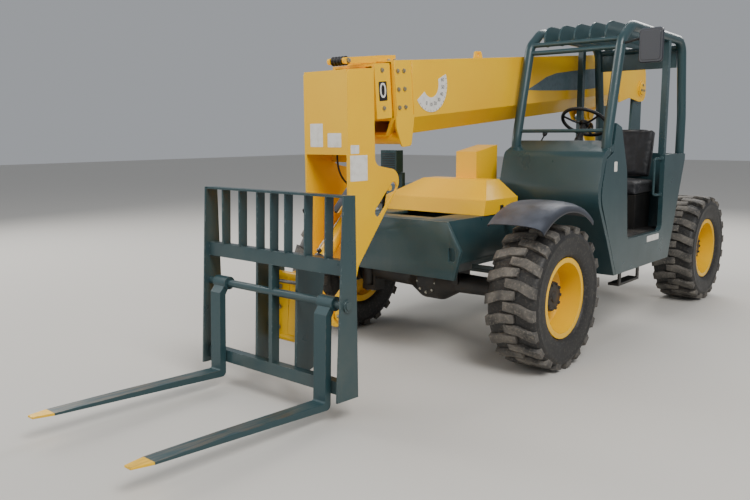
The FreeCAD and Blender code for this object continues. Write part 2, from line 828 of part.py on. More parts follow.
def front_hood():
    """Hipped cover behind the front box's top, with the boom's rest standing at its rear."""
    body = piece("front_hood")
    skirt_top = "box_top + seat_gap + hood_skirt"
    # level, front edge, half width: the foot, the top of the skirt and the crown
    foot = ("box_top + seat_gap", "hood_front", "hood_half")
    skirt = (skirt_top, "hood_front - hood_draft", "hood_half")
    crown = ("hood_top", "hood_front - hood_draft - hood_run", "hood_half - hood_inset")
    for name, low, high in (("skirt", foot, skirt), ("crown", skirt, crown)):
        outlines = [hood_outline("box_back", *level[1:]) for level in (low, high)]
        tapered(body, name, low[0], outlines[0], high[0], outlines[1])
    inner = "box_back + hood_wall"
    room = [
        (level, hood_outline(inner, f"{front} - {gap} * hood_wall", f"{half} - {gap} * hood_wall"))
        for level, front, half, gap in (
            (foot[0] + " - 1", foot[1], foot[2], 1.2),
            (skirt_top + " - hood_wall", skirt[1], skirt[2], 1.2),
            (skirt_top + " - hood_wall - 0.01", skirt[1], skirt[2], 1.2),
            ("hood_top - hood_wall", crown[1], crown[2], 1.0),
        )
    ]
    tapered(body, "skirt_room", *room[0], *room[1], cut=True)
    tapered(body, "crown_room", *room[2], *room[3], cut=True)
    rest = (
        ("box_back + 10", foot[0]),
        ("box_back + 10", "rest_top"),
        ("box_back - 300", "rest_top + 50"),
        ("box_back - 300", foot[0]),
    )
    slab(body, "boom_rest", "XZ", "0", "2 * rest_half", rest)


# Engine side.
HINGES = ("pod_middle - 240", "pod_middle + 240")


def engine_pod():
    """Open-topped tub on the right with a louvred side opening; the hood closes it."""
    body = piece("engine_pod")
    outside = rectangle("pod_back", "pod_front", "pod_outer", "pod_inner")
    inside = rectangle(
        "pod_back + pod_wall", "pod_front - pod_wall", "pod_outer + pod_wall", "pod_inner - pod_wall"
    )
    span(body, "tub", "XY", "pod_low", "pod_top", outside)
    span(body, "inside", "XY", "pod_low + pod_wall", "pod_top + 10", inside, cut=True)
    span(
        body, "wheel_recess", "XZ", "pod_outer - 10", "pod_inner - 240",
        (
            ("pod_front + 10", "pod_low - 10"),
            ("pod_front + 10", "arch_top"),
            ("pod_front - 5", "arch_top"),
            ("pod_front - 180", "arch_top - 115"),
            ("pod_front - 300", "arch_top - 260"),
            ("pod_front - 355", "pod_low - 10"),
        ),
        cut=True,
    )
    span(
        body, "recess_wall", "XZ", "pod_outer", "pod_inner - 200",
        (
            ("pod_front", "arch_top"),
            ("pod_front - 5", "arch_top"),
            ("pod_front - 180", "arch_top - 115"),
            ("pod_front - 300", "arch_top - 260"),
            ("pod_front - 355", "pod_low"),
            ("pod_front - 380", "pod_low"),
            ("pod_front - 325", "arch_top - 250"),
            ("pod_front - 195", "arch_top - 92"),
            ("pod_front - 12", "arch_top + 25"),
            ("pod_front", "arch_top + 25"),
        ),
    )
    span(
        body, "bracket", "XZ", "pod_inner - 2", "-rail_outer",
        rectangle("pod_back + 200", "pod_front - 200", "pod_low + 40", "pod_low + 240"),
    )
    louvre_start = "pod_back + 300"
    for number in range(6):
        low_x = f"{louvre_start} + {number} * 130"
        span(
            body, "louvre", "XZ", "pod_outer - 10", "pod_outer + pod_wall + 10",
            rectangle(low_x, low_x + " + 80", "pod_top - 330", "pod_top - 110"), cut=True,
        )
    # air intake on a stem ahead of the hood
    stem = (
        ("pod_front - 1", "pod_top - 90"),
        ("pod_front + 45", "pod_top - 90"),
        ("pod_front + 45", "pod_top + 220"),
        ("pod_front + 8", "pod_top + 220"),
        ("pod_front + 8", "pod_top - 20"),
        ("pod_front - 1", "pod_top - 20"),
    )
    slab(body, "intake_stem", "XZ", "pod_middle - 28", "50", stem)
    span(
        body, "intake", "XY", "pod_top + 210", "pod_top + 410",
        rectangle("pod_front + 8", "pod_front + 98", "pod_middle - 200", "pod_middle - 25"),
    )
    # hinge of the hood: two pins held between arms on the rear wall
    arm = (
        ("hinge_x - hinge_radius", "pod_top - 60"),
        ("pod_back + 1", "pod_top - 60"),
        ("pod_back + 1", "pod_top - 6"),
        ("hinge_x + hinge_radius - 4", "pod_top - 6"),
        ("hinge_x + hinge_radius - 4", "hinge_z"),
        ("hinge_x - hinge_radius", "hinge_z"),
    )
    for centre in HINGES:
        for away in (-47, 47):
            slab(body, "hinge_arm", "XZ", f"{centre} + {away}", "30", arm)
            knuckle_end = ("hinge_x", "hinge_z", "hinge_radius")
            slab(body, "hinge_eye", "XZ", f"{centre} + {away}", "30", knuckle_end)
        slab(body, "hinge_pin", "XZ", centre, "120", ("hinge_x", "hinge_z", "hinge_pin_radius"))


def engine_hood():
    """Lid of the engine side, hinged along its rear edge."""
    body = piece("engine_hood")
    profile = (
        ("pod_back", "pod_top + seat_gap"),
        ("pod_front", "pod_top + seat_gap"),
        ("pod_front", "pod_top + hood_height * 0.45", "30"),
        ("pod_front - 240", "pod_top + hood_height", "120"),
        ("pod_back", "pod_top + hood_height", "30"),
    )
    span(body, "shell", "XZ", "pod_outer", "pod_inner", profile)
    hollow = (
        ("pod_back + pod_wall", "pod_top - 10"),
        ("pod_front - pod_wall", "pod_top - 10"),
        ("pod_front - pod_wall", "pod_top + hood_height * 0.45 - pod_wall / 2"),
        ("pod_front - 260", "pod_top + hood_height - pod_wall"),
        ("pod_back + pod_wall", "pod_top + hood_height - pod_wall"),
    )
    span(body, "hollow", "XZ", "pod_outer + pod_wall", "pod_inner - pod_wall", hollow, cut=True)
    leaf = rectangle("hinge_x", "pod_back + 1", "hinge_z - hinge_radius + 2", "hinge_z + hinge_radius")
    for centre in HINGES:
        slab(body, "hinge_leaf", "XZ", centre, "60", leaf)
        slab(body, "hinge_eye", "XZ", centre, "60", ("hinge_x", "hinge_z", "hinge_radius"))
        slab(
            body, "hinge_bore", "XZ", centre, "70",
            ("hinge_x", "hinge_z", "hinge_pin_radius + pin_clearance"), cut=True,
        )


def engine_block():
    body = piece("engine_block")
    span(
        body, "block", "XY", "pod_low + pod_wall", "pod_low + pod_wall + 500",
        rectangle("pod_front - 1250", "pod_front - 460", "pod_outer + 150", "pod_inner - 130"),
    )


def hydraulic_tank():
    body = piece("hydraulic_tank")
    span(
        body, "tank", "XY", "pod_low + pod_wall", "pod_top - 120",
        (
            ("pod_back + pod_wall + 10", "pod_outer + pod_wall + 12", "30"),
            ("pod_back + pod_wall + 430", "pod_outer + pod_wall + 12", "30"),
            ("pod_back + pod_wall + 430", "pod_inner - pod_wall - 12", "30"),
            ("pod_back + pod_wall + 10", "pod_inner - pod_wall - 12", "30"),
        ),
    )
    span(
        body, "filler", "XY", "pod_top - 125", "pod_top - 60",
        ("pod_back + pod_wall + 200", "pod_outer + 180", "45"),
    )


# Cab.
def cab_front_panel():
    """Bulged front panel and cowl with a rounded crest."""
    body = piece("cab_front_panel")
    outer = (
        ("cab_front - 260", "cab_low"),
        ("cab_front - 100", "cab_low + 300"),
        ("cab_front + 90", "cab_low + 620", "260"),
        ("cab_front", "cab_waist + 20", "70"),
        ("cab_front - 230", "cab_waist + 110"),
        ("cab_front - 250", "cab_waist + 110 - cab_wall"),
        ("cab_front - cab_wall", "cab_waist - 20", "40"),
        ("cab_front + 88 - cab_wall", "cab_low + 618", "220"),
        ("cab_front - 95 - cab_wall", "cab_low + 310"),
        ("cab_front - 260 - cab_wall", "cab_low"),
    )
    span(body, "panel", "XZ", "cab_inner", "cab_outer", outer)
    for centre in ("post_inner", "post_outer"):
        span(
            body, "post_hole", "XY", "cab_waist - 10", "cab_waist + 160",
            ("post_foot_x", centre, "post_radius + seat_gap"), cut=True,
        )
    notch = rectangle(
        "cab_front - 300", "post_foot_x - post_radius - 8", "cab_waist + 10", "cab_waist + 130"
    )
    span(
        body, "door_notch", "XZ", "cab_outer - cab_wall - seat_gap", "cab_outer + 10", notch, cut=True
    )


def cab_sides():
    """Left side with its door opening, and the plain wall beside the boom."""
    left = piece("cab_left_side")
    front_edge = (
        ("cab_front - 265 - cab_wall", "cab_low"),
        ("cab_front - 100 - cab_wall", "cab_low + 312"),
        ("cab_front - cab_wall + 60", "cab_low + 620", "200"),
        ("cab_front - cab_wall - 10", "cab_waist - 25"),
    )
    rear_edge = (
        ("cab_back", "cab_waist - 20"),
        ("cab_back", "cab_waist - 70", "30"),
        ("cab_back + 310", "cab_low"),
    )
    # the door's front edge sweeps up behind the front post
    door = (
        ("post_foot_x - 45", "cab_waist + 20"),
        ("post_foot_x - 50", "cab_waist + 60"),
        ("post_foot_x - 82", "cab_waist + 240"),
        ("door_front + 194", "cab_waist + 210"),
        ("door_front + 64", "cab_waist - 120", "220"),
        ("door_front", "cab_floor", "40"),
        ("door_back", "cab_floor", "60"),
        ("door_back", "cab_waist - 20"),
    )
    outline = front_edge + door + rear_edge
    span(left, "wall", "XZ", "cab_outer - cab_wall", "cab_outer", outline)
    right = piece("cab_right_side")
    top = (("cab_front - 240", "cab_waist + 50"), ("door_front - 40", "cab_waist - 20"))
    outline = front_edge + top + rear_edge
    span(right, "wall", "XZ", "cab_inner", "cab_inner + cab_wall", outline)


def cab_rear_panel():
    body = piece("cab_rear_panel")
    panel = (
        ("cab_back + 310 - 12", "cab_low + 40"),
        ("cab_back", "cab_waist - 70"),
        ("cab_back", "cab_waist - 20"),
        ("cab_back + cab_wall", "cab_waist - 20"),
        ("cab_back + cab_wall", "cab_waist - 70"),
        ("cab_back + 310 - 12 + cab_wall", "cab_low + 40"),
    )
    span(body, "panel", "XZ", "cab_inner + cab_wall", "cab_outer - cab_wall", panel)


def cab_floor():
    body = piece("cab_floor")
    floor = (
        ("cab_front - 220", "cab_floor - 30"),
        ("cab_front - 220", "cab_floor"),
        ("cab_back + 270", "cab_floor"),
        ("cab_back + 282", "cab_floor - 30"),
    )
    span(body, "plate", "XZ", "cab_inner + cab_wall", "cab_outer - cab_wall", floor)
    span(
        body, "seat_box", "XY", "cab_floor - 1", "cab_floor + 300",
        rectangle("cab_back + 268", "cab_back + 600", "room_middle - 220", "room_middle + 220"),
    )


def cab_console():
    """Dash panel whose sloping top carries the steering column."""
    body = piece("cab_console")
    dash = (
        ("cab_front - 255", "cab_floor"),
        ("cab_front - 255", "dash_top_z"),
        ("dash_top_x", "dash_top_z"),
        ("dash_rear_x", "dash_rear_z"),
        ("dash_rear_x + 60", "cab_floor + 260", "30"),
        ("dash_rear_x + 60", "cab_floor"),
    )
    span(body, "dash", "XZ", "cab_inner + cab_wall", "cab_outer - cab_wall", dash)


def steering_wheel():
    """Wheel and column, square to the top of the dash."""
    body = piece("steering_wheel", "steering")
    half = "wheel_rim * 0.41"
    octagon = (
        ("wheel_ring - wheel_rim", half),
        ("wheel_ring - wheel_rim", f"-({half})"),
        (f"wheel_ring - {half}", "-wheel_rim"),
        (f"wheel_ring + {half}", "-wheel_rim"),
        ("wheel_ring + wheel_rim", f"-({half})"),
        ("wheel_ring + wheel_rim", half),
        (f"wheel_ring + {half}", "wheel_rim"),
        (f"wheel_ring - {half}", "wheel_rim"),
    )
    turned(body, "rim", "XZ", "0", ("0", "0"), octagon, axis="V_Axis")
    span(body, "hub", "XY", "-45", "5", ("0", "0", "42"))
    slab(body, "spoke", "XY", "-6", "12", rectangle("-wheel_ring", "wheel_ring", "-14", "14"))
    slab(body, "spoke", "XY", "-6", "12", rectangle("-14", "14", "0", "wheel_ring"))
    span(body, "column", "XY", "-column_length", "-40", ("0", "0", "30"))


def seat():
    cushion = piece("seat_cushion")
    span(
        cushion, "pad", "XY", "cab_floor + 300 + seat_gap", "cab_floor + 420",
        rectangle("cab_back + 160", "cab_back + 620", "room_middle - 240", "room_middle + 240"),
    )
    back = piece("seat_back")
    span(
        back, "pad", "XZ", "room_middle - 215", "room_middle + 215",
        (
            ("cab_back + 210", "cab_floor + 420 + seat_gap"),
            ("cab_back + 310", "cab_floor + 420 + seat_gap"),
            ("cab_back + 190", "cab_floor + 880", "40"),
            ("cab_back + 100", "cab_floor + 880", "40"),
        ),
    )


def protection_frame():
    """Two bent tube loops joined by cross tubes: the roll-over frame."""
    body = piece("protection_frame")
    path = (
        ("post_foot_x", "cab_waist + 30"),
        ("post_foot_x", "cab_waist + 110", "0.4 * (roof_height - cab_waist - 270)"),
        ("post_head_x", "roof_height - 160", "150"),
        ("post_head_x - 170", "roof_height - post_radius", "150"),
        ("cab_back + 130", "roof_height - post_radius - 30", "130"),
        ("cab_back + 40", "cab_waist + 300", "500"),
        ("cab_back + 40", "cab_waist - 20"),
    )
    for centre in ("post_inner", "post_outer"):
        pipe(body, "loop", centre, path, "post_radius")
    ends = ("post_inner", "post_outer")
    # cross tubes: x, z, radius
    crosses = (
        ("post_foot_x - 24", "cab_waist + 185", "14"),
        ("post_head_x + 10", "roof_height - 214", "19"),
        ("post_head_x - 10", "roof_height - 150", "19"),
        ("cab_back + 118", "roof_height - 120", "26"),
    )
    for at_x, at_z, radius in crosses:
        span(body, "cross_tube", "XZ", *ends, (at_x, at_z, radius))
    # door posts on the side walls
    for centre in ends:
        span(
            body, "door_post", "XY", "cab_waist - 20 + seat_gap", "roof_height - 52",
            rectangle("door_back - 50", "door_back", f"{centre} - 25", f"{centre} + 25"),
        )
    count = 5
    roof_bar = (
        ("post_head_x - 60", "roof_height - 168"),
        ("post_head_x + 18", "roof_height - 168", "60"),
        ("post_head_x - 20", "roof_height", "120"),
        ("cab_back + 140", "roof_height - 12", "40"),
        ("cab_back + 110", "roof_height - 112"),
        ("post_head_x - 190", "roof_height - 100", "80"),
    )
    for number in range(count):
        share = (number + 1) / (count + 1)
        centre = f"post_inner + {share} * (post_outer - post_inner)"
        slab(body, "roof_bar", "XZ", centre, "12", roof_bar)


def rear_header():
    """Blank panel across the rear of the roof, under its cross tube."""
    body = piece("rear_header")
    panel = rectangle("post_inner + 42", "post_outer - 42", "roof_height - 290", "roof_height - 147")
    span(body, "panel", "YZ", "cab_back + 106", "cab_back + 130", panel)
    for centre in ("post_inner + 90", "post_outer - 90"):
        slab(
            body, "clip", "XZ", centre, "30",
            rectangle("cab_back + 112", "cab_back + 124", "roof_height - 150", "roof_height - 146.3"),
        )


def fenders():
    """Crowned strips over the front tyres, turned about the axle, each on an arm from the box."""
    body = piece("front_fenders")
    # across from the centre line, radius: along the outside and back along the inside
    strip = (
        ("fender_inner", "fender_radius - 10"),
        ("fender_inner + 60", "fender_radius"),
        ("fender_outer - 60", "fender_radius"),
        ("fender_outer - 10", "fender_radius - 18"),
        ("fender_outer", "fender_radius - 60"),
        ("fender_outer - fender_thick", "fender_radius - 60"),
        ("fender_outer - fender_thick - 8", "fender_radius - 23"),
        ("fender_outer - 63", "fender_radius - fender_thick"),
        ("fender_inner + 63", "fender_radius - fender_thick"),
        ("fender_inner", "fender_radius - fender_thick - 10"),
    )
    level = rectangle("-230", "-190", "box_top - 45", "box_top - 5")
    upright = (
        ("-230", "box_top - 45"),
        ("-190", "box_top - 45"),
        ("-190", "tyre_radius + fender_radius * 0.935"),
        ("-230", "tyre_radius + fender_radius * 0.915"),
    )
    for side in (-1, 1):
        outline = [(f"{side} * ({across})", radius) for across, radius in strip]
        if side < 0:
            outline.reverse()
        turned(
            body, "strip", "YZ", "0", ("0", "tyre_radius"), outline, sweep="fender_sweep_degrees"
        )
        span(body, "arm", "XZ", *sided(side, "box_half - 42", "fender_inner + 20"), level)
        span(body, "riser", "XZ", *sided(side, "fender_inner", "fender_inner + 20"), upright)


def mirror():
    body = piece("mirror")
    span(
        body, "glass_case", "YZ", "post_head_x + 16", "post_head_x + 46",
        (
            ("mirror_reach - 190", "roof_height - 300", "20"),
            ("mirror_reach", "roof_height - 300", "20"),
            ("mirror_reach", "roof_height - 10", "20"),
            ("mirror_reach - 190", "roof_height - 10", "20"),
        ),
    )
    span(
        body, "arm", "XZ", "cab_outer + seat_gap", "mirror_reach - 60",
        ("post_head_x + 6", "roof_height - 175", "11"),
    )


def cab_step():
    body = piece("cab_step")
    for at_x in ("door_front - 100", "door_back + 259"):
        span(
            body, "strap", "YZ", at_x, at_x + " + 45",
            rectangle("cab_outer - 90", "cab_outer - 78", "cab_low - 130", "cab_low + 120"),
        )
    span(
        body, "tread", "XY", "cab_low - 140", "cab_low - 120",
        rectangle("door_back + 259", "door_front - 55", "cab_outer - 170", "cab_outer - 78"),
    )
    span(
        body, "hanger", "XY", "cab_low + 90", "cab_low + 120",
        rectangle("door_back + 259", "door_front - 55", "cab_outer - 90", "cab_outer - cab_wall"),
    )


# Boom, drawn level from its rear pivot.
def box_section(half, low, high):
    return rectangle(f"-({half})", half, low, high)


def pads(body, start, end, tube, near, far):
    """Wear pads on the four sides of an inner tube, from one distance off its wall to another."""
    for side in (-1, 1):
        upright = rectangle(start, end, f"{tube}_low + 35", f"{tube}_top - 35")
        ends = sided(side, f"{tube}_half + {near}", f"{tube}_half + {far}")
        span(body, "side_pad", "XZ", *ends, upright)
    flat_pads = (
        rectangle(start, end, f"{tube}_top + {near}", f"{tube}_top + {far}"),
        rectangle(start, end, f"{tube}_low - ({far})", f"{tube}_low - ({near})"),
    )
    slab(body, "level_pad", "XZ", "0", f"{tube}_half * 1.4", *flat_pads)


def boom_outer():
    body = piece("boom_outer", "boom")
    keel = "boom_low - keel_depth"
    span(
        body, "tube", "YZ", "keel_start", "boom_front",
        (
            ("-boom_half", "boom_top"),
            ("-boom_half", "boom_low"),
            ("-keel_half", keel),
            ("keel_half", keel),
            ("boom_half", "boom_low"),
            ("boom_half", "boom_top"),
        ),
        box_section("boom_half - boom_wall", "boom_low + boom_wall", "boom_top - boom_wall"),
        (
            ("-keel_half - 38", "boom_low - boom_wall"),
            ("-keel_half + 4", keel + " + boom_wall"),
            ("keel_half - 4", keel + " + boom_wall"),
            ("keel_half + 38", "boom_low - boom_wall"),
        ),
    )
    # rear: side cheeks that straddle the tower, under the top plate
    cheek = (
        ("keel_start", "boom_top"),
        ("keel_start", "boom_low - keel_depth * 0.8"),
        ("300", "boom_low - 60"),
        ("boom_pin_radius", "-boom_tail", "80"),
        ("-boom_tail", "-boom_tail", "100"),
        ("-boom_tail", "150"),
        ("-60", "boom_top", "60"),
    )
    for side in (-1, 1):
        span(body, "cheek", "XZ", *sided(side, "boom_half - boom_wall", "boom_half"), cheek)
        ends = sided(side, "boom_half - 1", "boom_half + 12")
        span(body, "pivot_boss", "XZ", *ends, ("0", "0", "2.1 * boom_pin_radius"))
    top_plate = rectangle("0", "keel_start", "boom_top - boom_wall", "boom_top")
    slab(body, "top_plate", "XZ", "0", "2 * boom_half - 20", top_plate)
    slab(
        body, "rear_floor", "XZ", "0", "2 * boom_half - 20",
        rectangle("320", "keel_start + 10", "boom_low", "boom_low + boom_wall"),
    )
    slab(
        body, "pivot_bore", "XZ", "0", "3 * boom_half",
        ("0", "0", "boom_pin_radius + pin_clearance"), cut=True,
    )
    # front collar with its lower ears
    collar = (
        ("boom_front", "boom_top"),
        ("boom_front", "boom_low - 60", "30"),
        ("boom_front - 50", "boom_low - 190", "30"),
        ("boom_front - 150", "boom_low - 190", "30"),
        ("boom_front - 200", "boom_low"),
        ("boom_front - 200", "boom_top"),
    )
    for side in (-1, 1):
        span(body, "collar", "XZ", *sided(side, "boom_half", "boom_half + 12"), collar)
    slab(
        body, "collar_tube", "XZ", "0", "2 * boom_half + 10",
        ("boom_front - 70", "boom_low - 130", "42"),
    )
    # lift cylinder lug under the keel
    lug_plate = (
        ("lift_lug_along - 150", keel + " + 5"),
        ("lift_lug_along - 58", "-lift_lug_drop - 58", "54"),
        ("lift_lug_along + 58", "-lift_lug_drop - 58", "54"),
        ("lift_lug_along + 150", keel + " + 5"),
    )
    for side in (-1, 1):
        slab(body, "lift_lug", "XZ", f"{side} * 72", "20", lug_plate)
    pads(body, "boom_front - 130", "boom_front - 10", "middle", "slide_clearance", "middle_gap + 1")
    pin_cap = ("lift_lug_along", "-lift_lug_drop", "lift_pin_radius + 16")
    for side in (-1, 1):
        span(body, "pin_cap", "XZ", *sided(side, "80", "94"), pin_cap)
    # lifting tab on the top plate
    tab = (
        ("boom_front - 1390", "boom_top - 1"),
        ("boom_front - 1270", "boom_top - 1"),
        ("boom_front - 1290", "boom_top + 62", "20"),
        ("boom_front - 1370", "boom_top + 62", "20"),
    )
    slab(body, "lifting_tab", "XZ", "0", "16", tab, ("boom_front - 1330", "boom_top + 34", "14"))


def boom_middle():
    body = piece("boom_middle", "boom")
    start = "stage_tail"
    span(
        body, "tube", "YZ", start, "middle_front",
        box_section("middle_half", "middle_low", "middle_top"),
        box_section("middle_half - middle_wall", "middle_low + middle_wall", "middle_top - middle_wall"),
    )
    rear = "middle_gap - slide_clearance"
    pads(body, start + " + 10", start + " + 160", "middle", "-1", rear)
    collar = "middle_half + middle_gap"
    span(
        body, "collar", "YZ", "boom_front + 12", "middle_front",
        box_section(collar, "middle_low - 12", "middle_top + 8"),
        box_section("middle_half - 1", "middle_low + 1", "middle_top - 1"),
    )
    pads(body, "middle_front - 120", "middle_front - 6", "fly", "slide_clearance", "middle_gap + 1")


def boom_fly():
    body = piece("boom_fly", "boom")
    start = "stage_tail + 160"
    span(
        body, "tube", "YZ", start, "fly_front - 30",
        box_section("fly_half", "fly_low", "fly_top"),
        box_section("fly_half - fly_wall", "fly_low + fly_wall", "fly_top - fly_wall"),
    )
    pads(body, start + " + 10", start + " + 150", "fly", "-1", "middle_gap - slide_clearance")


def boom_nose():
    """Gooseneck: two side plates from the fly tube down to the tilt pin."""
    body = piece("boom_nose", "nose")
    plate = (
        ("20", "147", "30"),
        ("-232", "168", "12"),
        ("-240", "-455", "60"),
        ("-560", "-510", "85"),
        ("-70", "-1103"),
        ("tilt_pin_x - tilt_boss_radius - 8", "tilt_pin_z - tilt_boss_radius", "60"),
        ("tilt_pin_x + tilt_boss_radius", "tilt_pin_z - tilt_boss_radius", "80"),
        ("tilt_pin_x + tilt_boss_radius", "tilt_pin_z + 55", "40"),
        ("20", "-1163"),
    )
    slot = (
        ("-430", "-560", "32"),
        ("-222", "-765", "32"),
        ("-268", "-812", "32"),
        ("-476", "-607", "32"),
    )
    for side in (-1, 1):
        span(body, "side", "XZ", *sided(side, "nose_half - nose_plate", "nose_half"), plate, slot)
    inner = "2 * nose_half - nose_plate"
    spacer = (
        ("-25", "-140"),
        ("-25", "140"),
        ("-230", "157"),
        ("-230", "-124"),
    )
    for side in (-1, 1):
        ends = sided(side, "fly_half + seat_gap", "nose_half - nose_plate + 1")
        span(body, "spacer", "XZ", *ends, spacer)
    slab(body, "front_plate", "XZ", "0", inner, rectangle("6", "20", "-383", "147"))
    slab(
        body, "top_plate", "XZ", "0", inner,
        (("10", "133"), ("10", "147"), ("-16", "149"), ("-16", "135")),
    )
    slab(body, "back_plate", "XZ", "0", inner, rectangle("-238", "-226", "-440", "-134"))
    slab(
        body, "low_web", "XZ", "0", inner,
        (("-305", "-815"), ("-75", "-1093"), ("-65", "-1085"), ("-295", "-807")),
    )
    slab(
        body, "tube_bridge", "XZ", "0", inner,
        (("10", "-160"), ("10", "-147.5"), ("-228", "-128"), ("-228", "-142")),
    )
    slab(
        body, "tilt_pin", "XZ", "0", "2 * nose_half + 16",
        ("tilt_pin_x", "tilt_pin_z", "tilt_pin_radius"),
    )
    slab(
        body, "cylinder_pin", "XZ", "0", inner,
        ("tilt_base_x", "tilt_base_z", "lever_pin_radius"),
    )


def hose_bracket():
    """Arm on the boom's front top that carries the hose roller over the nose."""
    body = piece("hose_bracket", "boom")
    foot = "boom_top + seat_gap"
    slab(
        body, "box", "XZ", "0", "150",
        rectangle("boom_front - 190", "boom_front - 4", foot, "boom_top + 40"),
    )
    for side in (-1, 1):
        slab(
            body, "arm", "XZ", f"{side} * 66", "18",
            (
                ("boom_front - 60", foot),
                ("boom_front + 6", foot),
                ("boom_front + 20", "boom_top - 8"),
                ("boom_front + 334", "boom_top - 8", "18"),
                ("boom_front + 334", "boom_top + 32", "18"),
                ("boom_front - 60", "boom_top + 40"),
            ),
        )
    slab(body, "roller", "XZ", "0", "130", ("boom_front + 292", "boom_top + 12", "19"))


# Cylinders, drawn along +X from the barrel's pin.
def barrel(name, frame, radius, rod_radius, eye_radius, pin_radius, length):
    body = piece(name, frame)
    eye_width = "1.1 * " + radius
    slab(body, "eye", "XZ", "0", eye_width, ("0", "0", eye_radius))
    turned(
        body, "tube", "XZ", "0", ("0", "0"),
        (
            (f"{eye_radius} * 0.7", "0"),
            (f"{eye_radius} * 0.7", radius),
            (length, radius),
            (length, f"{rod_radius} + slide_clearance"),
            (f"{eye_radius} + 30", f"{rod_radius} + slide_clearance"),
            (f"{eye_radius} + 30", "0"),
        ),
    )
    slab(body, "bore", "XZ", "0", "4 * " + radius, ("0", "0", pin_radius + " + pin_clearance"), cut=True)


def rod(name, frame, rod_radius, eye_radius, pin_radius, start, length, width):
    body = piece(name, frame)
    turned(
        body, "bar", "XZ", "0", ("0", "0"),
        (
            (start, "0"),
            (start, rod_radius),
            (f"{length} - {eye_radius} * 0.6", rod_radius),
            (f"{length} - {eye_radius} * 0.6", "0"),
        ),
    )
    slab(body, "eye", "XZ", "0", width, (length, "0", eye_radius))
    slab(body, "bore", "XZ", "0", "4 * " + rod_radius, (length, "0", pin_radius), cut=True)
    slab(body, "pin", "XZ", "0", width + " + 8", (length, "0", pin_radius))


def cylinders():
    barrel(
        "lift_cylinder_barrel", "lift", "lift_barrel_radius", "lift_rod_radius",
        "lift_eye_radius", "lift_pin_radius", "lift_length - 150",
    )
    rod(
        "lift_cylinder_rod", "lift", "lift_rod_radius", "lift_eye_radius", "lift_pin_radius",
        "lift_eye_radius + 60", "lift_length", "100",
    )
    barrel(
        "tilt_cylinder_barrel", "tilt", "tilt_barrel_radius", "tilt_rod_radius",
        "tilt_eye_radius", "lever_pin_radius", "tilt_length - 130",
    )
    rod(
        "tilt_cylinder_rod", "tilt", "tilt_rod_radius", "tilt_eye_radius", "lever_pin_radius",
        "tilt_eye_radius + 90", "tilt_length", "60",
    )


# Carriage, drawn upright from the fork heel; x is measured forward from the shank's face.
def quick_coupler():
    """Head between the nose plates; two rolls seat it between the carriage's ears."""
    body = piece("quick_coupler", "pin")
    cheek = (
        ("-60", "-60", "58"),
        ("110", "-60", "40"),
        ("190", "-172", "20"),
        ("232", "-172", "20"),
        ("196", "256", "20"),
        ("150", "268", "20"),
        ("tilt_lever_x - 48", "tilt_lever_z + 46", "44"),
        ("tilt_lever_x - 48", "tilt_lever_z - 60", "60"),
        ("-60", "60", "58"),
    )
    for side in (-1, 1):
        span(body, "cheek", "XZ", *sided(side, "38", "54"), cheek)
        pin_cap = ("tilt_lever_x", "tilt_lever_z", "lever_pin_radius + 12")
        span(body, "pin_cap", "XZ", *sided(side, "52", "68"), pin_cap)
    front = (("212", "-156"), ("230", "-156"), ("190", "242"), ("172", "242"))
    slab(body, "front_plate", "XZ", "0", "300", front)
    slab(body, "pivot_tube", "XZ", "0", "2 * (nose_half - nose_plate) - 1", ("0", "0", "52"))
    slab(
        body, "pivot_bore", "XZ", "0", "3 * nose_half",
        ("0", "0", "tilt_pin_radius + pin_clearance"), cut=True,
    )
    for at_x, at_z in (("214", "-150"), ("172", "240")):
        slab(body, "roll", "XZ", "0", "2 * (ear_spread - 10 - seat_gap)", (at_x, at_z, "26"))


def carriage_frame():
    """Side plates, cross bars and load guard, with the fork shaft and the coupler's ears."""
    body = piece("carriage_frame", "carriage")
    side_plate = (
        ("0", "66"),
        ("-176", "66"),
        ("-125", "carriage_height"),
        ("-32", "carriage_height"),
    )
    shaft_cap = ("-shaft_back", "shaft_height", "1.5 * shaft_radius")
    ear = (
        ("-92", "90"),
        ("-250", "150", "40"),
        ("-330", "735", "40"),
        ("-270", "760", "20"),
        ("-100", "bar_high - 8"),
    )
    for side in (-1, 1):
        ends = sided(side, "carriage_half - carriage_plate", "carriage_half")
        span(body, "side_plate", "XZ", *ends, side_plate)
        ends = sided(side, "carriage_half - 1", "carriage_half + 12")
        span(body, "shaft_cap", "XZ", *ends, shaft_cap)
        slab(body, "ear", "XZ", f"{side} * ear_spread", "20", ear)
    # cross bars from side plate to side plate
    bars = (
        rectangle("-115", "-40", "carriage_height - 14", "carriage_height"),
        rectangle("-118", "-56", "bar_low", "bar_high"),
        rectangle("-110", "-49", "95", "172"),
    )
    for bar in bars:
        slab(body, "bar", "XZ", "0", "2 * carriage_half - carriage_plate", bar)
    shaft = ("-shaft_back", "shaft_height", "shaft_radius")
    slab(body, "fork_shaft", "XZ", "0", "2 * carriage_half + 36", shaft)
    # upright bars of the load guard: distance from the centre line
    upright = rectangle("-112", "-50", "bar_high - 4", "carriage_height - 10")
    for at_y in ("0", "127", "-127", "297", "-297", "464", "-464"):
        slab(body, "guard_bar", "XZ", at_y, "12", upright)
    slab(body, "centre_post", "XZ", "0", "32", rectangle("-110", "-50", "160", "bar_low + 4"))


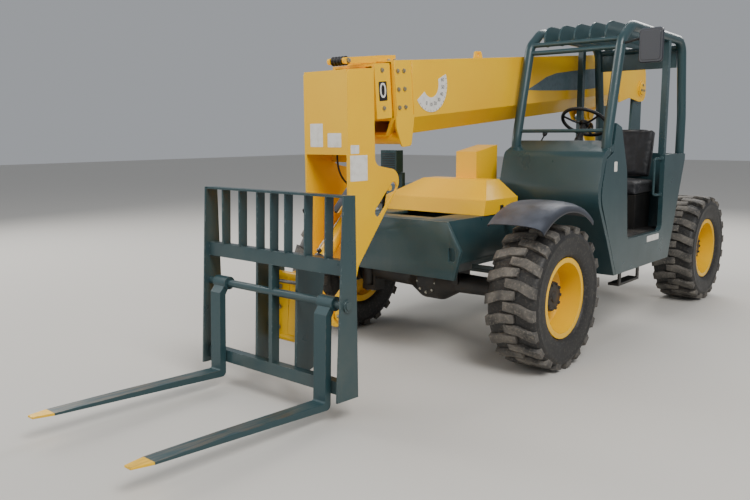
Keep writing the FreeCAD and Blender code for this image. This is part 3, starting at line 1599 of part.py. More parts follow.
def forks():
    for name, side in (("left_fork", 1), ("right_fork", -1)):
        body = piece(name, "carriage")
        centre = f"{side} * fork_spread"
        slab(
            body, "shank_and_blade", "XZ", centre, "fork_width",
            (
                ("-fork_thick", "0", "30"),
                ("fork_length", "fork_thick - fork_tip_thick - 6"),
                ("fork_length", "fork_thick - 6"),
                ("fork_length * 0.55", "fork_thick"),
                ("0", "fork_thick", "14"),
                ("0", "shaft_height - 60"),
                ("-shaft_back + fork_eye_radius * 0.6", "shaft_height"),
                ("-shaft_back - fork_eye_radius * 0.3", "shaft_height - 10"),
                ("-fork_thick", "shaft_height - 75"),
            ),
        )
        slab(
            body, "eye", "XZ", centre, "fork_width + 24",
            ("-shaft_back", "shaft_height", "fork_eye_radius"),
        )
        slab(
            body, "eye_bore", "XZ", centre, "2 * fork_width",
            ("-shaft_back", "shaft_height", "shaft_radius + seat_gap"), cut=True,
        )
        for edge in (-1, 1):
            outer = f"{side} * (fork_spread + {edge} * (fork_width / 2 + 1))"
            tip = (
                ("fork_length + 5", outer),
                ("fork_length + 5", f"{side} * (fork_spread + {edge} * fork_width * 0.25)"),
                ("fork_length * 0.9", outer),
            )
            span(body, "tip_bevel", "XY", "-50", "100", tip, cut=True)


# Wheel stations: name, x, side.
STATIONS = (
    ("front_left", "0", 1),
    ("front_right", "0", -1),
    ("rear_left", "rear_x", 1),
    ("rear_right", "rear_x", -1),
)

frame_rails()
frame_crossmembers()
boom_tower()
tower_crossmembers()
tower_pins()
counterweight()
front_box()
front_hood()
engine_pod()
engine_hood()
engine_block()
hydraulic_tank()
cab_front_panel()
cab_sides()
cab_rear_panel()
cab_floor()
cab_console()
steering_wheel()
seat()
protection_frame()
rear_header()
fenders()
mirror()
cab_step()
axle("front_axle", "0")
axle("rear_axle", "rear_x")
boom_outer()
boom_middle()
boom_fly()
boom_nose()
hose_bracket()
cylinders()
quick_coupler()
carriage_frame()
forks()
TYRE = tyre_shape()
for station, at_x, side in STATIONS:
    wheel_centre = {
        "move": (at_x, f"{side} * track_width / 2", "tyre_radius"),
        "half_turn": side < 0,
    }
    knuckle(station + "_knuckle", wheel_centre)
    rim(station + "_rim", wheel_centre)
    tyre(station + "_tyre", wheel_centre)
document.recompute()


def check():
    """Stop before anything is written if a feature failed or a cut removed nothing."""
    for thing in document.Objects:
        if "Invalid" in thing.State or "Error" in thing.State:
            raise RuntimeError(f"{thing.Name} of {thing.InList and thing.InList[0].Name} failed")
        if thing.TypeId in ("PartDesign::Pocket", "PartDesign::Groove"):
            removed = thing.BaseFeature.Shape.Volume - thing.Shape.Volume
            if removed < 1:
                raise RuntimeError(f"{thing.Name} cuts nothing")
    for thing in pieces:
        if thing.Shape.isNull() or not thing.Shape.isValid() or thing.Shape.Volume <= 0:
            raise RuntimeError(f"{thing.Label} has no valid shape")


check()
os.makedirs("parts", exist_ok=True)
for thing in pieces:
    thing.Shape.exportStep(os.path.join("parts", thing.Label + ".step"))
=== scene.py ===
import functools
import math

import bmesh
import bpy
from mathutils import Matrix, Quaternion, Vector


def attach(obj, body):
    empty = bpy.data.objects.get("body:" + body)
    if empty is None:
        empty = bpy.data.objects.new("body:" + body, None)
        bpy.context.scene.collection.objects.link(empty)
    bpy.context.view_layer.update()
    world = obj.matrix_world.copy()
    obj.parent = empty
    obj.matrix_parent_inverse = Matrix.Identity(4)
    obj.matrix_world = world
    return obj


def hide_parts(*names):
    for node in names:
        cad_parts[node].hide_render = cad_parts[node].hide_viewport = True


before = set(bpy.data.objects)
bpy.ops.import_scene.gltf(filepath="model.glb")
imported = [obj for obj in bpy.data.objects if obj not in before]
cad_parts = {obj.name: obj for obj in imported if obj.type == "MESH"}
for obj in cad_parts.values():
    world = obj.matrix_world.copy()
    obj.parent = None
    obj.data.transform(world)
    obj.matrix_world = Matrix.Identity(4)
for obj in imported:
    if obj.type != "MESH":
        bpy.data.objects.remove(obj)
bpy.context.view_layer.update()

# Row frame: +X forward, +Y to the machine's left, +Z up, metres.


def show(name, data):
    thing = bpy.data.objects.new(name, data)
    bpy.context.scene.collection.objects.link(thing)
    return thing


def aim(thing, place, direction, roll=0.0):
    """Stands a camera or a lamp at its place, looking in a direction."""
    thing.location = place
    thing.rotation_mode = "QUATERNION"
    thing.rotation_quaternion = direction.to_track_quat("-Z", "Y") @ Quaternion((0, 0, 1), roll)


# Camera at the photograph's place: front left of the machine, at a standing eye.
CAMERA_PLACE = (5.0195, 3.3342, 1.649)
CAMERA_HEADING = 3.8551
CAMERA_PITCH = -0.1539
CAMERA_ROLL = -0.0062
CAMERA_LENS = 36.27
SENSOR_WIDTH = 36

camera_data = bpy.data.cameras.new("camera")
camera_data.lens = CAMERA_LENS
camera_data.sensor_width = SENSOR_WIDTH
camera = show("camera", camera_data)
heading = Vector((
    math.cos(CAMERA_HEADING) * math.cos(CAMERA_PITCH),
    math.sin(CAMERA_HEADING) * math.cos(CAMERA_PITCH),
    math.sin(CAMERA_PITCH),
))
aim(camera, CAMERA_PLACE, heading, CAMERA_ROLL)
bpy.context.scene.camera = camera


# Places are measured from the ground under the middle of the front axle.
def shift(x, y, z):
    return Matrix.Translation((x, y, z))


def turn(axis, degrees):
    return Matrix.Rotation(math.radians(degrees), 4, axis)


GROUND = shift(0.28861, -0.12, 0)
WHEEL_BASE = 2.96
TRACK_HALF = 0.94
AXLE_HEIGHT = 0.508
CAB_MIDDLE = 0.6565


def spot(x, y, z, dip=0.0):
    """A frame at a spot, turned about the crosswise axis so that its +X dips."""
    return GROUND @ shift(x, y, z) @ turn("Y", dip)


BOOM = spot(-3.42, 0, 2.1, 4.7)
NOSE = spot(1.1986, 0, 1.89336)
PIN = spot(1.3286, 0, 0.51036)
CARRIAGE = spot(1.7956, 0, 0.074, -2.1)
LIFT = spot(-3.25, 0, 0.9, -48.45)
TILT = spot(0.7986, 0, 1.28036, 42.99)
STEERING = spot(-1.13, CAB_MIDDLE, 1.725, -35)
DASH = spot(-0.956, CAB_MIDDLE, 1.5372, -35)

# The way that +Z of a shape is turned.
LEFT = turn("X", -90)
RIGHT = turn("X", 90)
FORWARD = turn("Y", 90)
BACKWARD = turn("Y", -90)
DOWN = turn("X", 180)
SAME = Matrix()
SIDES = ((LEFT, 1), (RIGHT, -1))


# Materials.
def linear(colour):
    """The shader's linear value of an sRGB hex colour."""
    levels = [int(colour[at:at + 2], 16) / 255 for at in (0, 2, 4)]
    return [v / 12.92 if v <= 0.04045 else ((v + 0.055) / 1.055) ** 2.4 for v in levels] + [1.0]


def add(tree, kind, inputs=(), take=None, **settings):
    """Adds a node with its settings and inputs, and gives its first output in use or the one
    named. Inputs are named, or stand in the order of the sockets in use; each is an output to
    link, an sRGB hex colour or a plain value."""
    made = tree.nodes.new("ShaderNode" + kind)
    for name, setting in settings.items():
        setattr(made, name, setting)
    if not isinstance(inputs, dict):
        inputs = dict(zip([i for i, socket in enumerate(made.inputs) if socket.enabled], inputs))
    for socket, source in inputs.items():
        if isinstance(source, bpy.types.NodeSocket):
            tree.links.new(source, made.inputs[socket])
        else:
            value = linear(source) if isinstance(source, str) else source
            made.inputs[socket].default_value = value
    outputs = [socket for socket in made.outputs if socket.enabled and take in (None, socket.name)]
    return outputs[0] if outputs else None


def start(name):
    """An empty material, the function that adds its nodes, and places on the piece in metres."""
    material = bpy.data.materials.new(name)
    material.use_nodes = True
    material.node_tree.nodes.clear()
    node = functools.partial(add, material.node_tree)
    return material, node, node("TexCoord", take="Object")


def worn_edges(node):
    """How far a spot is on an edge, from the turn of the normal over 9 mm, and a rounded normal."""
    rounded, wide = [node("Bevel", {"Radius": radius}, samples=4) for radius in (0.004, 0.009)]
    alike = node("VectorMath", (wide, node("NewGeometry", take="Normal")), operation="DOT_PRODUCT")
    return node("MapRange", (alike, 0.98, 0.80)), rounded


def painted_steel(name, colour, deep, primer, dust, gloss, wear=0.6, dusty=0.35):
    """Two-pack enamel sprayed on welded plate: soft gloss with orange peel, colour a little
    deeper in patches, dust low down, and edges rubbed to primer in short chips."""
    material, node, place = start(name)
    patch = node("TexNoise", (place, 1.9, 3))
    cloud = node("TexNoise", (place, 5.0, 6))
    deeper = node("MapRange", (patch, 0.35, 0.75, 0.0, 0.6))
    # rain marks: streaks 15 mm wide that run down the plate
    drawn_out = node("Mapping", {"Vector": place, "Scale": (60.0, 60.0, 2.2)})
    streaks = node("MapRange", (node("TexNoise", (drawn_out, 1.0, 3)), 0.58, 0.8, 0.0, 0.3 * dusty))
    # chips 8 to 30 mm long, on the edges only
    edge, rounded = worn_edges(node)
    flakes = node("MapRange", (node("TexNoise", (place, 42.0, 4)), 0.42, 0.66))
    on_edges = node("Math", (flakes, edge), operation="MULTIPLY")
    chips = node("MapRange", (on_edges, 0.34 / wear, 0.5 / wear, 0.0, 0.85))
    # fine specks of chipped paint on open faces, 2 to 4 mm
    specks = node("MapRange", (node("TexNoise", (place, 210.0, 2)), 0.735, 0.76, 0.0, 0.6))
    # dust that settles below 1.35 m, most of it near the ground
    low_down = node("MapRange", (node("SeparateXYZ", (place,), take="Z"), 1.35, 0.15))
    settled = node("Math", (low_down, node("MapRange", (cloud, 0.3, 0.7))), operation="MULTIPLY")
    grime = node("Math", (settled, dusty), operation="MULTIPLY")
    body = colour
    for share, cover in (
        (deeper, deep), (streaks, dust), (chips, primer), (specks, primer), (grime, dust),
    ):
        body = node("Mix", (share, body, cover), data_type="RGBA")
    # orange peel: the real one is 2 mm across, drawn at 6 mm so that it shows
    peel = node("Bump", {
        "Height": node("TexNoise", (place, 165.0, 2)), "Normal": rounded,
        "Strength": 0.05, "Distance": 0.002,
    })
    node("OutputMaterial", {"Surface": node("BsdfPrincipled", {
        "Base Color": body, "Normal": peel, "IOR": 1.5, "Coat Weight": 0.12, "Coat Roughness": 0.12,
        "Roughness": node("MapRange", (cloud, 0.25, 0.75, gloss - 0.05, gloss + 0.14)),
    })})
    return material


yellow_enamel = painted_steel(
    "safety_yellow_enamel_on_welded_steel", "FFC800", "F9B600", "93702C", "A08A5C", 0.34, 0.42, 0.07
)
slate_enamel = painted_steel(
    "slate_green_enamel_on_welded_steel", "2B464B", "233A40", "7C8C8E", "7E7A6C", 0.3, 0.6, 0.2
)
black_enamel = painted_steel(
    "black_chassis_enamel_on_castings", "17181A", "101112", "56524D", "6B6256", 0.5
)
cast_iron = painted_steel(
    "oily_cast_iron", "3A3B3A", "2B2A28", "5F5A50", "5B5142", 0.5, 0.5, 0.5
)


def rubber(name, colour, dust, gloss, grit, dusty):
    """Vulcanised tread rubber: dull and slightly grainy, with pale dry dust in its hollows and
    polished tops where it meets the road. Grit is in grains a metre."""
    material, node, place = start(name)
    cloud = node("TexNoise", (place, 9.0, 6))
    film = node("MapRange", (cloud, 0.35, 0.7, 0.0, dusty))
    scuffs = node("MapRange", (node("TexNoise", (place, 60.0, 5)), 0.52, 0.68, 0.0, 0.35 * dusty))
    body = colour
    for share, cover in ((film, dust), (scuffs, "A49B8C")):
        body = node("Mix", (share, body, cover), data_type="RGBA")
    grain = node("Bump", {
        "Height": node("TexNoise", (place, grit, 3)), "Strength": 0.25, "Distance": 0.001,
    })
    node("OutputMaterial", {"Surface": node("BsdfPrincipled", {
        "Base Color": body, "Normal": grain, "IOR": 1.52,
        "Roughness": node("MapRange", (cloud, 0.3, 0.7, gloss, gloss + 0.15)),
    })})
    return material


tread_rubber = rubber("tread_rubber_with_dry_dust", "3A3938", "7A756E", 0.68, 420.0, 0.8)
sidewall_rubber = rubber("moulded_sidewall_rubber", "1F1F20", "3C3A37", 0.46, 500.0, 0.3)
hose_rubber = rubber("braided_hose_rubber", "1A1A1B", "4A4640", 0.5, 700.0, 0.3)
floor_rubber = rubber("ribbed_rubber_mat", "202022", "5A544B", 0.6, 300.0, 0.6)


def moulded_plastic(name, colour, pale, grain_size, gloss):
    """Injection or vacuum moulded plastic: one colour through, spark-eroded grain, and a painted
    highlight: the faces that look up are made paler in patches, and rougher there."""
    material, node, place = start(name)
    up = node("SeparateXYZ", (node("NewGeometry", take="Normal"),), take="Z")
    patch = node("MapRange", (node("TexNoise", (place, 7.0, 5)), 0.2, 0.8))
    # painted highlight: faces that look up are paler in patches, as if lit from above
    upward_painted_highlight = node("Math", (node("MapRange", (up, 0.1, 1.0)), patch), operation="MULTIPLY")
    drawn_out = node("Mapping", {"Vector": place, "Scale": (30.0, 210.0, 120.0)})
    scratches = node("MapRange", (node("TexNoise", (drawn_out, 1.0, 3)), 0.66, 0.8, 0.0, 0.3))
    body = colour
    for share in (upward_painted_highlight, scratches):
        body = node("Mix", (share, body, pale), data_type="RGBA")
    grain = node("TexVoronoi", {"Vector": place, "Scale": 1.0 / grain_size})
    node("OutputMaterial", {"Surface": node("BsdfPrincipled", {
        "Base Color": body, "IOR": 1.49,
        "Normal": node("Bump", {"Height": grain, "Strength": 0.18, "Distance": 0.0008}),
        "Roughness": node("MapRange", (upward_painted_highlight, 0.0, 1.0, gloss, gloss + 0.2)),
    })})
    return material


fender_plastic = moulded_plastic(
    "grained_polyethylene_of_the_fenders", "2C2F37", "676D7A", 0.004, 0.28
)
black_plastic = moulded_plastic("black_moulded_abs", "18181A", "3B3B3E", 0.003, 0.45)
grip_plastic = moulded_plastic("soft_grip_polyurethane", "151517", "2E2E31", 0.002, 0.38)


def steel(name, colour, stain, gloss, brushing):
    """Bare or plated steel: turned or drawn, bright, with fine marks along its length and a thin
    film of oil and dust. Brushing is in marks a metre along each axis."""
    material, node, place = start(name)
    lines = node("TexNoise", (node("Mapping", {"Vector": place, "Scale": brushing}), 1.0, 2))
    film = node("TexNoise", (place, 14.0, 5))
    stained = node("MapRange", (film, 0.5, 0.8, 0.0, 0.5))
    node("OutputMaterial", {"Surface": node("BsdfPrincipled", {
        "Base Color": node("Mix", (stained, colour, stain), data_type="RGBA"), "Metallic": 1.0,
        "Normal": node("Bump", {"Height": lines, "Strength": 0.12, "Distance": 0.0006}),
        "Roughness": node("MapRange", (film, 0.3, 0.8, gloss, gloss + 0.2)),
    })})
    return material


chrome_plate = steel("hard_chrome_on_ground_rod", "D9DBDD", "8B867D", 0.10, (8.0, 700.0, 8.0))
zinc_plate = steel("zinc_plated_fasteners", "B4B2A6", "6F6A5C", 0.34, (90.0, 90.0, 400.0))
worn_steel = steel("worn_bare_steel", "8E8B86", "5E4A38", 0.42, (12.0, 260.0, 260.0))
mirror_glass = steel("silvered_mirror_glass", "DDE4E6", "B9C0C0", 0.03, (4.0, 4.0, 4.0))


def vinyl():
    """Expanded vinyl on foam: embossed leather grain about 3 mm across, a soft low sheen, creases
    and dust where the driver's clothes rub."""
    material, node, place = start("embossed_black_vinyl_on_foam")
    cells = node("TexVoronoi", {"Vector": place, "Scale": 330.0}, feature="DISTANCE_TO_EDGE")
    crease = node("TexNoise", (place, 16.0, 6))
    rubbed = node("MapRange", (crease, 0.45, 0.75, 0.0, 0.5))
    grain = node("Bump", {"Height": cells, "Strength": 0.35, "Distance": 0.0012})
    node("OutputMaterial", {"Surface": node("BsdfPrincipled", {
        "Base Color": node("Mix", (rubbed, "26272B", "45464B"), data_type="RGBA"), "IOR": 1.5,
        "Normal": node("Bump", {
            "Height": crease, "Normal": grain, "Strength": 0.3, "Distance": 0.004,
        }),
        "Roughness": node("MapRange", (crease, 0.3, 0.7, 0.42, 0.6)),
        "Sheen Weight": 0.15, "Sheen Roughness": 0.4,
    })})
    return material


seat_vinyl = vinyl()

# Forks, along X of the frame: where the rubbed top of the blade begins and is full, and where
# the warning coat of the tip begins.
BLADE_START, BLADE_FULL = 2.13, 2.35
TIP_START, TIP_FULL = 3.196, 3.200


def fork_steel():
    """Forged fork blades: slate enamel kept on the shank, rubbed to bare steel along the top of
    the blade by pallets, and a yellow warning coat on the tips."""
    material, node, place = start("enamelled_fork_blade_rubbed_on_top")
    along = node("SeparateXYZ", (place,), take="X")
    up = node("SeparateXYZ", (node("NewGeometry", take="Normal"),), take="Z")
    ahead = node("MapRange", (along, BLADE_START, BLADE_FULL))
    tip = node("MapRange", (along, TIP_START, TIP_FULL))
    drawn_out = node("Mapping", {"Vector": place, "Scale": (5.0, 60.0, 60.0)})
    rub = node("TexNoise", (drawn_out, 1.0, 5))
    edge, rounded = worn_edges(node)
    top = node("Math", (node("MapRange", (up, 0.4, 0.9)), ahead), operation="MULTIPLY")
    bare = node("Math", (top, node("MapRange", (rub, 0.42, 0.6))), operation="MULTIPLY")
    less_at_tip = node("MapRange", (tip, 0.0, 1.0, 0.75, 0.25))
    rubbed = node("Math", (bare, less_at_tip), operation="MULTIPLY")
    chips = node("MapRange", (rub, 0.5, 0.62, 0.0, 0.6))
    on_edges = node("Math", (edge, chips), operation="MULTIPLY")
    body = "2B464B"
    for share, cover in ((tip, "FFC800"), (rubbed, "8C867C"), (on_edges, "6E675D")):
        body = node("Mix", (share, body, cover), data_type="RGBA")
    node("OutputMaterial", {"Surface": node("BsdfPrincipled", {
        "Base Color": body, "Normal": rounded, "IOR": 1.5,
        "Metallic": node("Math", (bare, ahead), operation="MULTIPLY"),
        "Roughness": node("MapRange", (rub, 0.3, 0.7, 0.34, 0.5)),
    })})
    return material


fork_enamel = fork_steel()


def plain_coat(name, colour, shade, gloss, clear_coat=0.0):
    """Printed film or moulded lens of one colour: smooth, slightly soiled and sunned."""
    material, node, place = start(name)
    soil = node("TexNoise", (place, 24.0, 5))
    soiled = node("MapRange", (soil, 0.45, 0.75, 0.0, 0.55))
    grain = node("TexNoise", (place, 380.0, 2))
    node("OutputMaterial", {"Surface": node("BsdfPrincipled", {
        "Base Color": node("Mix", (soiled, colour, shade), data_type="RGBA"), "IOR": 1.5,
        "Normal": node("Bump", {"Height": grain, "Strength": 0.08, "Distance": 0.0006}),
        "Roughness": node("MapRange", (soil, 0.3, 0.7, gloss, gloss + 0.15)),
        "Coat Weight": clear_coat, "Coat Roughness": 0.05,
    })})
    return material


white_label = plain_coat("off_white_vinyl_film", "E9E7E1", "C9C4B8", 0.35)
black_print = plain_coat("black_printed_film", "151517", "2B2A29", 0.4)
slate_film = plain_coat("slate_green_decal_film", "5B7079", "4B5F67", 0.35)
lamp_red = plain_coat("red_acrylic_lens", "A3120F", "7C0E0C", 0.12, 0.6)
lamp_clear = plain_coat("clear_prismatic_lens", "D8DEE0", "AEB6B8", 0.08, 0.8)


# Shapes. Each is a mesh with its doubles merged and its faces turned outwards.
DOUBLE = 1e-6
CRISP = 0.62    # radians: an edge that turns its faces more than this is shaded sharp


def ready(build):
    bmesh.ops.remove_doubles(build, verts=build.verts, dist=DOUBLE)
    bmesh.ops.recalc_face_normals(build, faces=build.faces)
    mesh = bpy.data.meshes.new("shape")
    build.to_mesh(mesh)
    build.free()
    return mesh


def soften(build, edges, size, steps=2):
    bmesh.ops.bevel(
        build, geom=edges, offset=size, offset_type="OFFSET", segments=steps, profile=0.5,
        affect="EDGES", material=-1, clamp_overlap=True,
    )


def draw_out(build, faces, move):
    """Gives flat faces a thickness."""
    made = bmesh.ops.extrude_face_region(build, geom=faces)["geom"]
    lifted = [v for v in made if isinstance(v, bmesh.types.BMVert)]
    bmesh.ops.translate(build, vec=move, verts=lifted)


def box(low, high):
    """A sharp box that is still open to changes."""
    build = bmesh.new()
    bmesh.ops.create_cube(build, size=1)
    bmesh.ops.scale(build, vec=high - low, verts=build.verts)
    bmesh.ops.translate(build, vec=(low + high) / 2, verts=build.verts)
    return build


def block(low, high, edge=0.003, steps=2):
    build = box(Vector(low), Vector(high))
    if edge:
        soften(build, build.edges[:], edge, steps)
    return ready(build)


def boss(radius, height, edge=0.002, sides=40, top=None):
    """A round boss standing on its place; top is its radius there."""
    build = bmesh.new()
    bmesh.ops.create_cone(
        build, cap_ends=True, segments=sides, radius1=radius,
        radius2=radius if top is None else top, depth=height,
    )
    bmesh.ops.translate(build, vec=(0, 0, height / 2), verts=build.verts)
    soften(build, [e for e in build.edges if any(len(f.verts) > 4 for f in e.link_faces)], edge)
    return ready(build)


# A bolt's washer, head and thread end: radius at the foot and at the top, lower and upper end,
# all in sizes of the thread, and the number of sides.
BOLT_PARTS = (
    (1.1, 1.1, 0.0, 0.16, 20),
    (0.92, 0.92, 0.16, 0.8, 6),
    (0.45, 0.423, 0.8, 0.9, 12),
)


def bolt(size):
    """A hexagon head with its washer and the end of its thread; size is the thread."""
    build = bmesh.new()
    for foot, top, low, high, sides in BOLT_PARTS:
        made = bmesh.ops.create_cone(
            build, cap_ends=True, segments=sides, radius1=foot * size, radius2=top * size,
            depth=(high - low) * size,
        )["verts"]
        bmesh.ops.translate(build, vec=(0, 0, (low + high) / 2 * size), verts=made)
    heads = [e for e in build.edges if any(len(f.verts) == 6 for f in e.link_faces)]
    soften(build, heads, 0.07 * size, 1)
    return ready(build)


def turned(profile, steps=64, closed=False):
    """A shape turned about Z; its profile's points are radius, height."""
    build = bmesh.new()
    spots = [build.verts.new((radius, 0, height)) for radius, height in profile]
    pairs = list(zip(spots, spots[1:] + spots[:1]))
    edges = [build.edges.new(pair) for pair in (pairs if closed else pairs[:-1])]
    bmesh.ops.spin(
        build, geom=spots + edges, cent=(0, 0, 0), axis=(0, 0, 1), dvec=(0, 0, 0),
        angle=2 * math.pi, steps=steps, use_merge=True, use_duplicate=False,
    )
    return ready(build)


def plate(outline, thick, edge=0.0005, corner=0.0):
    """A flat plate: its outline lies in XZ and its thickness runs towards +Y."""
    build = bmesh.new()
    face = build.faces.new([build.verts.new((x, 0, z)) for x, z in outline])
    draw_out(build, [face], (0, thick, 0))
    if corner:
        upright = [e for e in build.edges if abs(e.verts[0].co.y - e.verts[1].co.y) > thick / 2]
        soften(build, upright, corner, 4)
    if edge:
        flat = [e for e in build.edges if abs(e.verts[0].co.y - e.verts[1].co.y) < thick / 2]
        soften(build, flat, edge, 1)
    return ready(build)


def card(width, height, thick=0.0008, corner=0.008, edge=0.0002):
    half, top = width / 2, height / 2
    return plate(((-half, -top), (half, -top), (half, top), (-half, top)), thick, edge, corner)


def smooth_run(name, points, radius, steps, ring_steps, cyclic=False):
    run = bpy.data.curves.new(name, "CURVE")
    run.dimensions = "3D"
    spline = run.splines.new("NURBS")
    spline.points.add(len(points) - 1)
    for point, xyz in zip(spline.points, points):
        point.co = (*xyz, 1)
    spline.order_u = 3
    spline.use_endpoint_u = not cyclic
    spline.use_cyclic_u = cyclic
    run.resolution_u = steps
    run.bevel_depth = radius
    run.bevel_resolution = ring_steps
    run.use_fill_caps = True
    return run


def meshed(curve, place=SAME):
    """The mesh of a curve or of figures, which are then dropped."""
    holder = bpy.data.objects.new("holder", curve)
    mesh = bpy.data.meshes.new_from_object(holder)
    bpy.data.objects.remove(holder)
    bpy.data.curves.remove(curve)
    mesh.transform(place)
    return mesh


def bent_bar(points, radius, cyclic=False):
    """A round bar or hard line bent along a smooth run."""
    return meshed(smooth_run("run", points, radius, 10, 3, cyclic))


def digits(text, size):
    """Raised figures, centred in the XZ plane and facing +Y."""
    figures = bpy.data.curves.new("figures", "FONT")
    figures.body = text
    figures.size = size
    figures.extrude = 0.0003
    figures.align_x = "CENTER"
    figures.align_y = "CENTER"
    return meshed(figures, turn("Z", 180) @ turn("X", 90))


def ring(count, radius, height=0.0, first=0.0):
    """Places round a circle, each turned to its own spot; first is in radians."""
    step = 2 * math.pi / count
    return [
        Matrix.Rotation(first + step * i, 4, "Z") @ shift(radius, 0, height) for i in range(count)
    ]


def piece(name, body, material, *parts, slot=None, replaces=()):
    """One object that rides on a body, from shapes and the places of their copies."""
    build = bmesh.new()
    for shape, *places in parts:
        for place in places or [SAME]:
            copy = shape.copy()
            copy.transform(place)
            build.from_mesh(copy)
            bpy.data.meshes.remove(copy)
    for face in build.faces:
        face.smooth = True
    for edge in build.edges:
        edge.smooth = len(edge.link_faces) == 2 and edge.calc_face_angle(math.pi) < CRISP
    mesh = bpy.data.meshes.new(name)
    build.to_mesh(mesh)
    build.free()
    mesh.materials.append(material)
    thing = show(name, mesh)
    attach(thing, body)
    if replaces:
        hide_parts(*replaces)


def hose(name, body, place, points, diameter):
    """A pressed-end hydraulic hose between two fittings, drawn as a round curve."""
    points = [place @ Vector(point) for point in points]
    run = smooth_run(name, points, diameter / 2, 12, 4)
    run.materials.append(hose_rubber)
    thing = show(name, run)
    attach(thing, body)


# CAD nodes and their finishes.
FINISHES = (
    (slate_enamel, (
        "frame_rails", "frame_crossmembers", "boom_tower", "tower_crossmembers", "tower_pins",
        "counterweight", "front_box", "engine_pod", "engine_hood", "cab_front_panel",
        "cab_left_side", "cab_right_side", "cab_rear_panel", "protection_frame", "rear_header",
        "carriage_frame",
    )),
    (yellow_enamel, (
        "boom_outer", "boom_middle", "boom_fly", "boom_nose", "hose_bracket", "quick_coupler",
        "front_hood", "front_left_rim", "front_right_rim", "rear_left_rim", "rear_right_rim",
        "lift_cylinder_barrel", "tilt_cylinder_barrel",
    )),
    (black_enamel, (
        "front_axle", "rear_axle", "front_left_knuckle", "front_right_knuckle",
        "rear_left_knuckle", "rear_right_knuckle", "cab_floor", "cab_step", "hydraulic_tank",
    )),
    (black_plastic, ("cab_console", "mirror")),
    (fender_plastic, ("front_fenders",)),
    (fork_enamel, ("left_fork", "right_fork")),
    (chrome_plate, ("lift_cylinder_rod", "tilt_cylinder_rod")),
    (cast_iron, ("engine_block",)),
    (tread_rubber, ("front_left_tyre", "front_right_tyre", "rear_left_tyre", "rear_right_tyre")),
    (seat_vinyl, ("seat_cushion", "seat_back")),
    (grip_plastic, ("steering_wheel",)),
)
for finish, names in FINISHES:
    for name in names:
        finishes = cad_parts[name].data.materials
        finishes.clear()
        finishes.append(finish)

# Wheels: +Z of a wheel's place points outboard.
STATIONS = (
    ("front_left", 0.0, 1),
    ("front_right", 0.0, -1),
    ("rear_left", -WHEEL_BASE, 1),
    ("rear_right", -WHEEL_BASE, -1),
)
LUGS = 20
# across, lead in degrees, half width at the top and at the foot in degrees, top, foot
LUG_STATIONS = (
    (-0.040, -0.6, 3.3, 4.0, 0.508, 0.474),
    (0.066, 0.4, 3.7, 4.3, 0.508, 0.474),
    (0.088, 1.3, 3.9, 4.4, 0.5078, 0.473),
    (0.148, 4.0, 4.0, 4.5, 0.5055, 0.466),
    (0.1835, 5.2, 4.0, 4.6, 0.4965, 0.452),
)


def lug(side):
    """A bent bar lug, drawn from past the middle of the tread out over its shoulder."""
    build = bmesh.new()
    face = None
    for across, lead, top_half, foot_half, high, low in LUG_STATIONS:
        corners = (
            (high, lead - top_half), (high, lead + top_half),
            (low, lead + foot_half), (low, lead - foot_half),
        )
        spots = [
            turn("Z", degrees) @ Vector((0, -radius, side * across)) for radius, degrees in corners
        ]
        if face is None:
            face = build.faces.new([build.verts.new(at) for at in spots])
            continue
        made = bmesh.ops.extrude_face_region(build, geom=[face])["geom"]
        face = [f for f in made if isinstance(f, bmesh.types.BMFace)][0]
        for vert, at in zip(face.verts, spots):
            vert.co = at
    soften(build, [e for e in build.edges if e.calc_face_angle(0) > 0.5], 0.0035, 2)
    return ready(build)


half_section = (
    (0.262, 0.140), (0.276, 0.1405), (0.288, 0.148), (0.294, 0.160), (0.304, 0.170),
    (0.318, 0.1765), (0.345, 0.1825), (0.385, 0.1858), (0.418, 0.1858), (0.422, 0.1878),
    (0.434, 0.1878), (0.438, 0.1852), (0.452, 0.1826), (0.466, 0.1740), (0.475, 0.1600),
    (0.4790, 0.1400), (0.4815, 0.1000), (0.4825, 0.0500),
)
section = list(half_section) + [(r, -h) for r, h in reversed(half_section)]
carcass = turned(section, 120, closed=True)
outer_lugs = [turn("Z", 360 / LUGS * i) for i in range(LUGS)]
inner_lugs = [turn("Z", 360 / LUGS * (i + 0.5)) for i in range(LUGS)]
lug_out, lug_in = lug(1), lug(-1)

hub_shell = turned((
    (0.0, 0.086), (0.034, 0.086), (0.040, 0.082), (0.043, 0.074), (0.080, 0.073), (0.098, 0.070),
    (0.105, 0.063), (0.107, 0.054), (0.108, 0.012), (0.112, 0.006), (0.121, 0.004),
    (0.125, -0.002), (0.126, -0.046), (0.130, -0.054), (0.140, -0.0575), (0.141, -0.0597),
    (0.0, -0.0597),
), 72)
oil_plug = boss(0.013, 0.010, 0.002, 6)
wheel_nut, hub_bolt = bolt(0.020), bolt(0.012)
valve = bent_bar(
    ((0.205, 0, -0.030), (0.205, 0, 0.0), (0.210, 0, 0.018), (0.222, 0, 0.030)), 0.004
)
for name, x, side in STATIONS:
    outboard = turn("Z", 0 if side > 0 else 180) @ LEFT
    wheel = spot(x, side * TRACK_HALF, AXLE_HEIGHT) @ outboard
    body = name + "_wheel"
    piece(
        name + "_carcass", body, sidewall_rubber, (carcass, wheel),
        slot="tyre_rubber", replaces=[name + "_tyre"],
    )
    piece(
        name + "_lugs", body, tread_rubber,
        (lug_out, *[wheel @ at for at in outer_lugs]),
        (lug_in, *[wheel @ at for at in inner_lugs]),
        slot="tyre_rubber",
    )
    piece(
        name + "_hub", body, black_enamel,
        (hub_shell, wheel), (hub_bolt, *[wheel @ at for at in ring(10, 0.090, 0.0715)]),
        (oil_plug, wheel @ shift(0.062, 0, 0.0725)), (valve, wheel),
        slot="black_steel",
    )
    piece(
        name + "_nuts", body, zinc_plate,
        (wheel_nut, *[wheel @ at for at in ring(8, 0.155, -0.0598, 0.2)]),
    )

